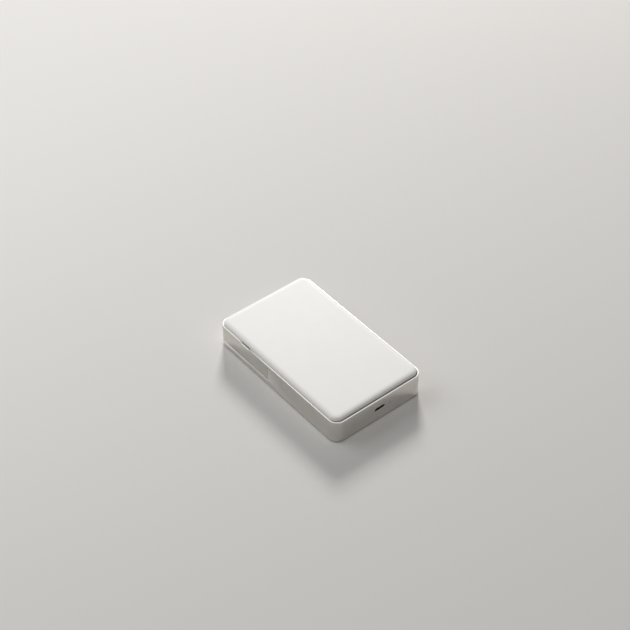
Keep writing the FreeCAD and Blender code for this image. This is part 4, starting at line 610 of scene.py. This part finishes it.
def make_band():
    band = wall_ring("band", FOOT_STAND, 0.5, 5)
    cut(band, block("rear", (-FAR_X, SEAM_Y, SEAM_Z), (FAR_X, FAR_Y, FAR_Z)))
    pick(band, "EDGE", lambda e: level_edge(SEAM_Z)(e) and all(on_outline(v) for v in e.verts))
    bevel_chosen(LIP_BEVEL, 2)
    cut(band, inner_slab("ledge", LEDGE, -OVER, COVER_TOP))
    # The wall is thinner at the port end, where the lid's hinge stands behind it
    pocket = inner_slab("pocket", RIM_LAND, POCKET_LOW, POCKET_TOP)
    cut(pocket, block("pocket_end", (-FAR_X, -HALF_Y + CORNER, 0), (FAR_X, FAR_Y, FAR_Z)))
    cut(band, pocket)
    for place in SIDE_BOSSES:
        add_boss(band, place)
    cut(band, pill("port", "Y", -FAR_Y, PORT_HOLE_BACK, (0, PORT_Z), PORT_HALF_X + PLAY, PORT_HALF_Z + PLAY),
        rod("light_hole", "Y", -FAR_Y, PORT_HOLE_BACK, (LIGHT_X, LIGHT_Z), LIGHT_HOLE, PIN_SIDES),
        pill("button_hole", "X", SIDE_HOLE_START, SIDE_HOLE_END, (BUTTON_Y, BUTTON_Z), BUTTON_HOLE_LONG,
             BUTTON_HOLE_HIGH))
    soften(band, 0.06)
    fit(band, "band_wall", "main_band", PLATED_SILVER)


def notch_tool():
    """The finger notch: two wide arcs that run down to a flat floor between them."""
    run = (NOTCH_LONG - NOTCH_FLAT) / 2
    arc = (run ** 2 + NOTCH_DEEP ** 2) / (2 * NOTCH_DEEP)
    floor = RIM_TOP - NOTCH_DEEP
    near, far = NOTCH_Y - NOTCH_FLAT / 2, NOTCH_Y + NOTCH_FLAT / 2
    outside, inside = -HALF_X - OVER, -HALF_X + WALL + OVER
    tool = rod("notch", "X", outside, inside, (near, floor + arc), arc, ARC_SIDES)
    weld(tool, rod("notch_end", "X", outside, inside, (far, floor + arc), arc, ARC_SIDES),
         block("notch_floor", (outside, near, floor), (inside, far, floor + arc)))
    return tool


def on_notch_edge(edge):
    """Whether an edge is the notch's, on the outer face of the wall and below the rim's own rounding."""
    low, high = (RIM_TOP - NOTCH_DEEP) * MM - NEAR, (RIM_TOP - RIM_ROUND) * MM - NEAR
    return all(abs(v.co.x + HALF_X * MM) < NEAR and abs(v.co.y - NOTCH_Y * MM) < NOTCH_LONG * MM and
               low < v.co.z < high for v in edge.verts)


def make_cap():
    low = SEAM_Z + SEAM_GAP
    cap = wall_ring("cap", low, 0.1, 2)
    cut(cap, block("front", (-FAR_X, -FAR_Y, 0), (FAR_X, SEAM_Y + SEAM_GAP, FAR_Z)))
    weld(cap, block("shelf", (-EXIT_HALF, SHELF_FRONT, SHELF_LOW), (EXIT_HALF, IN_WALL_Y, EXIT_LOW)))
    cut(cap, block("paper_exit", (-EXIT_HALF, EXIT_FRONT, EXIT_LOW), (EXIT_HALF, FAR_Y, EXIT_HIGH)))
    cut(cap, notch_tool())
    pick(cap, "EDGE", on_notch_edge)
    bevel_chosen(RIM_ROUND, 3)
    for x, y in REAR_BOSSES:
        weld(cap, block("web", (x - WEB_HALF, y, low), (x + WEB_HALF, IN_WALL_Y, BOSS_TOP)))
        add_boss(cap, (x, y))
    for side in (-1, 1):
        for y in TONGUE_Y:
            inner, outer = sorted((side * TONGUE_IN, side * TONGUE_OUT))
            root = sorted((side * TONGUE_IN, side * IN_WALL_X))
            front, back = y - TONGUE_HALF, y + TONGUE_HALF
            weld(cap, block("tongue", (inner, front, TONGUE_LOW), (outer, back, TONGUE_TOP)),
                 block("tongue_root", (root[0], front, low), (root[1], back, TONGUE_TOP)))
    soften(cap, 0.06)
    fit(cap, "cap_wall", "rear_cap", PLATED_SILVER)


# Underside: the cover, its four feet and its six screws

def make_base():
    base = inner_slab("base", LEDGE + PLAY, FOOT_STAND, COVER_TOP)
    for place in FEET:
        cut(base, rod("foot_seat", "Z", -OVER, FOOT_STAND + FOOT_SEAT, place, FOOT_RADIUS + PLAY))
    for place in SIDE_BOSSES + REAR_BOSSES:
        cut(base, rod("head_seat", "Z", -OVER, FOOT_STAND + HEAD_HIGH, place, HEAD_RADIUS + PLAY, HEAD_SIDES),
            rod("screw_hole", "Z", -OVER, COVER_TOP + OVER, place, CLEAR_RADIUS, HOLE_SIDES))
    soften(base, 0.1)
    fit(base, "base_plate", "bottom_cover", BASE_GREY)


def make_feet():
    foot = rod("foot", "Z", 0, FOOT_STAND + FOOT_SEAT, (0, 0), FOOT_RADIUS)
    pick(foot, "FACE", looks_down)
    bpy.ops.mesh.inset(thickness=TREAD_RIM * MM, depth=0)
    bpy.ops.mesh.inset(thickness=TREAD_STEP * MM, depth=-TREAD_DEEP * MM)
    put_down()
    soften(foot, 0.12, 3, 40)
    fit(copies(foot, [(x, y, 0) for x, y in FEET]), "soft_feet", "rubber_feet", RUBBER)


def make_case_screws():
    """Pan-head screws with a cross recess, their heads underneath."""
    screw = rod("screw_head", "Z", 0, HEAD_HIGH, (0, 0), HEAD_RADIUS, HEAD_SIDES)
    weld(screw, rod("shank", "Z", HEAD_HIGH / 2, HEAD_HIGH + SHANK_LONG, (0, 0), SHANK_RADIUS, HOLE_SIDES))
    for wide, deep in ((RECESS_LONG, RECESS_HALF), (RECESS_HALF, RECESS_LONG)):
        cut(screw, block("recess", (-wide, -deep, -OVER), (wide, deep, RECESS_DEEP)))
    soften(screw, 0.08)
    screws = copies(screw, [(x, y, FOOT_STAND) for x, y in SIDE_BOSSES + REAR_BOSSES])
    fit(screws, "cross_head_screws", "case_screws", PLATED_STEEL)


# Charging port: its steel sleeve, its blade and the blade's gilt contacts

def make_port_sleeve():
    shell = pill("port_shell", "Y", PORT_FRONT, PORT_BACK, (0, PORT_Z), PORT_HALF_X, PORT_HALF_Z, PORT_STEPS)
    cut(shell, pill("mouth", "Y", PORT_FRONT - OVER, PORT_BACK + OVER, (0, PORT_Z), PORT_HALF_X - PORT_WALL,
                    PORT_HALF_Z - PORT_WALL, PORT_STEPS))
    soften(shell, 0.07, 3)
    fit(shell, "port_sleeve", "usb_shell", STAINLESS)


def make_port_blade():
    front, root = PORT_FRONT + BLADE_SET_BACK, PORT_HALF_Z - PORT_WALL
    blade = block("blade", (-BLADE_HALF_X, front, PORT_Z - BLADE_HALF_Z),
                  (BLADE_HALF_X, PORT_BACK, PORT_Z + BLADE_HALF_Z))
    pick(blade, "EDGE", lambda e: along("Z")(e) and e.verts[0].co.y < (front + 1) * MM)
    bevel_chosen(BLADE_CHAMFER, 4)
    weld(blade, block("blade_root", (-BLADE_ROOT_HALF, PORT_BACK - BLADE_ROOT_LONG, PORT_Z - root),
                      (BLADE_ROOT_HALF, PORT_BACK, PORT_Z + root)))
    soften(blade, 0.05)
    fit(blade, "port_tongue", "usb_tongue", BLACK_PLASTIC)


def make_port_contacts():
    """A row of strips on each face of the blade."""
    face = PORT_Z + BLADE_HALF_Z
    strip = block("contact", (-CONTACT_HALF, PORT_FRONT + CONTACT_START, face - CONTACT_PROUD),
                  (CONTACT_HALF, PORT_FRONT + CONTACT_END, face + CONTACT_PROUD))
    first = -CONTACT_PITCH * (CONTACTS - 1) / 2
    strips = copies(strip, [(first + CONTACT_PITCH * i, 0, drop) for drop in (0, -2 * BLADE_HALF_Z)
                            for i in range(CONTACTS)])
    smooth(strips)
    clothe(strips, "port_contacts", GOLD)
    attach(strips, "case")


make_lid()
make_band()
make_cap()
make_base()
make_feet()
make_case_screws()
make_port_sleeve()
make_port_blade()
make_port_contacts()


# Inside: every other piece keeps its CAD shape, with its corners merged and shaded smooth

INNER = {
    "power_button": ("silver_button", PLATED_SILVER, 0.05),
    "paper_tray": ("tray_moulding", INNER_GREY, 0.08),
    "mechanism_cover": ("deck_cover", INNER_GREY, 0.08),
    "lid_liner": ("liner_moulding", LINER_GREY, 0.08),
    "pressure_plate": ("paper_presser", INNER_GREY, 0.08),
    "paper_guide": ("guide_moulding", BLACK_PLASTIC, 0.05),
    "paper_flag": ("flag_lever", BLACK_PLASTIC, 0.05),
    "catch_plates": ("catch_steel", PLATED_STEEL, 0.04),
    "lid_magnets": ("catch_magnets", NICKEL, 0.08),
    "hinge_brackets": ("hinge_bracket_pair", PLATED_STEEL, 0.04),
    "lid_hinge_arms": ("hinge_arm_pair", PLATED_STEEL, 0.04),
    "hinge_pins": ("hinge_pin_pair", GROUND_STEEL, 0.04),
    "lid_screws": ("lid_screw_pair", PLATED_STEEL, 0.04),
    "inner_screws": ("inner_screw_set", PLATED_STEEL, 0.04),
    "mech_frame": ("folded_frame", PLATED_STEEL, 0.05),
    "bridge_plate": ("bridge_steel", PLATED_STEEL, 0.05),
    "head_heatsink": ("head_carrier", ALUMINIUM, 0.05),
    "head_strip": ("heater_strip", CERAMIC, 0.03),
    "drive_motor": ("motor_can", PLATED_STEEL, 0.08),
    "sensor_board": ("sensor_body", BLACK_PLASTIC, 0.05),
    "main_board": ("main_circuit_board", CIRCUIT_BOARD, 0.0),
    "board_chips": ("chip_packages", BLACK_PLASTIC, 0.05),
    "wireless_module": ("module_can", PLATED_STEEL, 0.1),
    "power_switch": ("switch_body", BLACK_PLASTIC, 0.05),
    "status_light": ("light_chip", CLEAR_PLASTIC, 0.03),
    "indicator_lens": ("light_lens", SMOKED_PLASTIC, 0.0),
    "battery_pack": ("battery_pouch", BATTERY_WRAP, 0.3),
    "battery_plug": ("battery_connector", CERAMIC, 0.05),
    "battery_lead": ("battery_wire_pair", WIRE_PAIR, 0.0),
    "head_flex_cable": ("head_film_cable", FLAT_CABLE, 0.0),
    "platen_shaft": ("platen_core", GROUND_STEEL, 0.0),
    "platen_sleeve": ("platen_rubber", ROLLER_RUBBER, 0.1),
    "pickup_shaft": ("pickup_core", GROUND_STEEL, 0.0),
    "pickup_tyres": ("pickup_rubber", ROLLER_RUBBER, 0.1),
    "motor_shaft": ("motor_spindle", GROUND_STEEL, 0.0),
    "motor_pinion": ("brass_gear", BRASS, 0.0),
    "idler_posts": ("idler_pin_set", GROUND_STEEL, 0.0),
    "reduction_post": ("reduction_pin", GROUND_STEEL, 0.0),
    "head_pivot_pin": ("head_pin", GROUND_STEEL, 0.0),
    "flag_pin": ("flag_pivot", GROUND_STEEL, 0.0),
    "roller_bushes": ("bearing_bushes", ACETAL, 0.0),
    "platen_gear_left": ("platen_wheel_left", ACETAL, 0.0),
    "platen_gear_right": ("platen_wheel_right", ACETAL, 0.0),
    "reduction_gear": ("reduction_wheel", ACETAL, 0.0),
    "idler_gear_1": ("idler_wheel_1", ACETAL, 0.0),
    "idler_gear_2": ("idler_wheel_2", ACETAL, 0.0),
    "idler_gear_3": ("idler_wheel_3", ACETAL, 0.0),
    "pickup_gear": ("pickup_wheel", ACETAL, 0.0),
    "head_springs": ("head_coils", SPRING_STEEL, 0.0),
    "pressure_springs": ("presser_coils", SPRING_STEEL, 0.0),
}
for node, (name, finish, width) in INNER.items():
    dress(node, name, finish, width)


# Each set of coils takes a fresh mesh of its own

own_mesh(bpy.data.objects["presser_coils"])
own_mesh(bpy.data.objects["head_coils"])


# Floor, light and camera, in metres and watts

FLOOR_WIDE = 4
WINDOW_PLACE, WINDOW_WIDE, WINDOW_POWER, WINDOW_TINT = (1.23, 1.50, 1.03), 0.5, 36, (1.0, 0.975, 0.945)
SKY_PLACE, SKY_WIDE, SKY_POWER, SKY_TINT = (-0.42, 0.5, 0.62), 0.6, 2.2, (0.97, 0.985, 1.0)
# The room lights matt surfaces less than mirrors, glass and the camera see it
ROOM_LIGHT, ROOM_TINT = 0.27, colour(1.0, 0.99, 0.975)
# The camera that the photo's outline was fitted with; its focal length and width are in the photo's pixels
CAMERA_PLACE, CAMERA_TARGET = Vector((-0.4765, -0.5767, 0.7537)), Vector((0.02997, 0.0409, 0.0))
PHOTO_FOCAL, PHOTO_WIDE, SENSOR_WIDE = 1573, 630, 36


def make_floor():
    put_down()
    bpy.ops.mesh.primitive_plane_add(size=FLOOR_WIDE, location=(0, 0, 0))
    floor = settle("floor")
    finish = bare("pale_floor", Roughness=0.85, Base_Color=colour(0.74, 0.73, 0.715))[0]
    floor.data.materials.append(finish)


def aim(holder, place, target):
    """Puts a lamp or camera at a place and turns it to look at a target."""
    holder.location = place
    holder.rotation_euler = (target - place).to_track_quat("-Z", "Y").to_euler()


def make_light(name, place, wide, power, tint):
    lamp = bpy.data.lights.new(name, "AREA")
    lamp.shape = "SQUARE"
    lamp.size = wide
    lamp.energy = power
    lamp.color = tint
    holder = bpy.data.objects.new(name, lamp)
    bpy.context.scene.collection.objects.link(holder)
    aim(holder, Vector(place), Vector((0, 0, 0)))


def make_world():
    world = bpy.data.worlds.new("soft_room")
    bpy.context.scene.world = world
    world.use_nodes = True
    tree = world.node_tree
    back = tree.nodes["Background"]
    back.inputs["Color"].default_value = ROOM_TINT
    path = add(tree, "ShaderNodeLightPath").outputs
    seen = sums(tree, "MAXIMUM", sums(tree, "MAXIMUM", path["Is Camera Ray"], path["Is Glossy Ray"]),
                path["Is Transmission Ray"])
    tree.links.new(spread(tree, seen, ROOM_LIGHT, 1.0, 0.0, 1.0), back.inputs["Strength"])


def make_camera():
    data = bpy.data.cameras.new("photo_camera")
    camera = bpy.data.objects.new("photo_camera", data)
    bpy.context.scene.collection.objects.link(camera)
    data.sensor_width = SENSOR_WIDE
    data.lens = PHOTO_FOCAL / PHOTO_WIDE * SENSOR_WIDE
    data.clip_start, data.clip_end = 0.01, 20
    aim(camera, CAMERA_PLACE, CAMERA_TARGET)
    bpy.context.scene.camera = camera


make_floor()
make_light("window", WINDOW_PLACE, WINDOW_WIDE, WINDOW_POWER, WINDOW_TINT)
make_light("sky_panel", SKY_PLACE, SKY_WIDE, SKY_POWER, SKY_TINT)
make_world()
make_camera()
bpy.context.scene.view_settings.view_transform = "Standard"
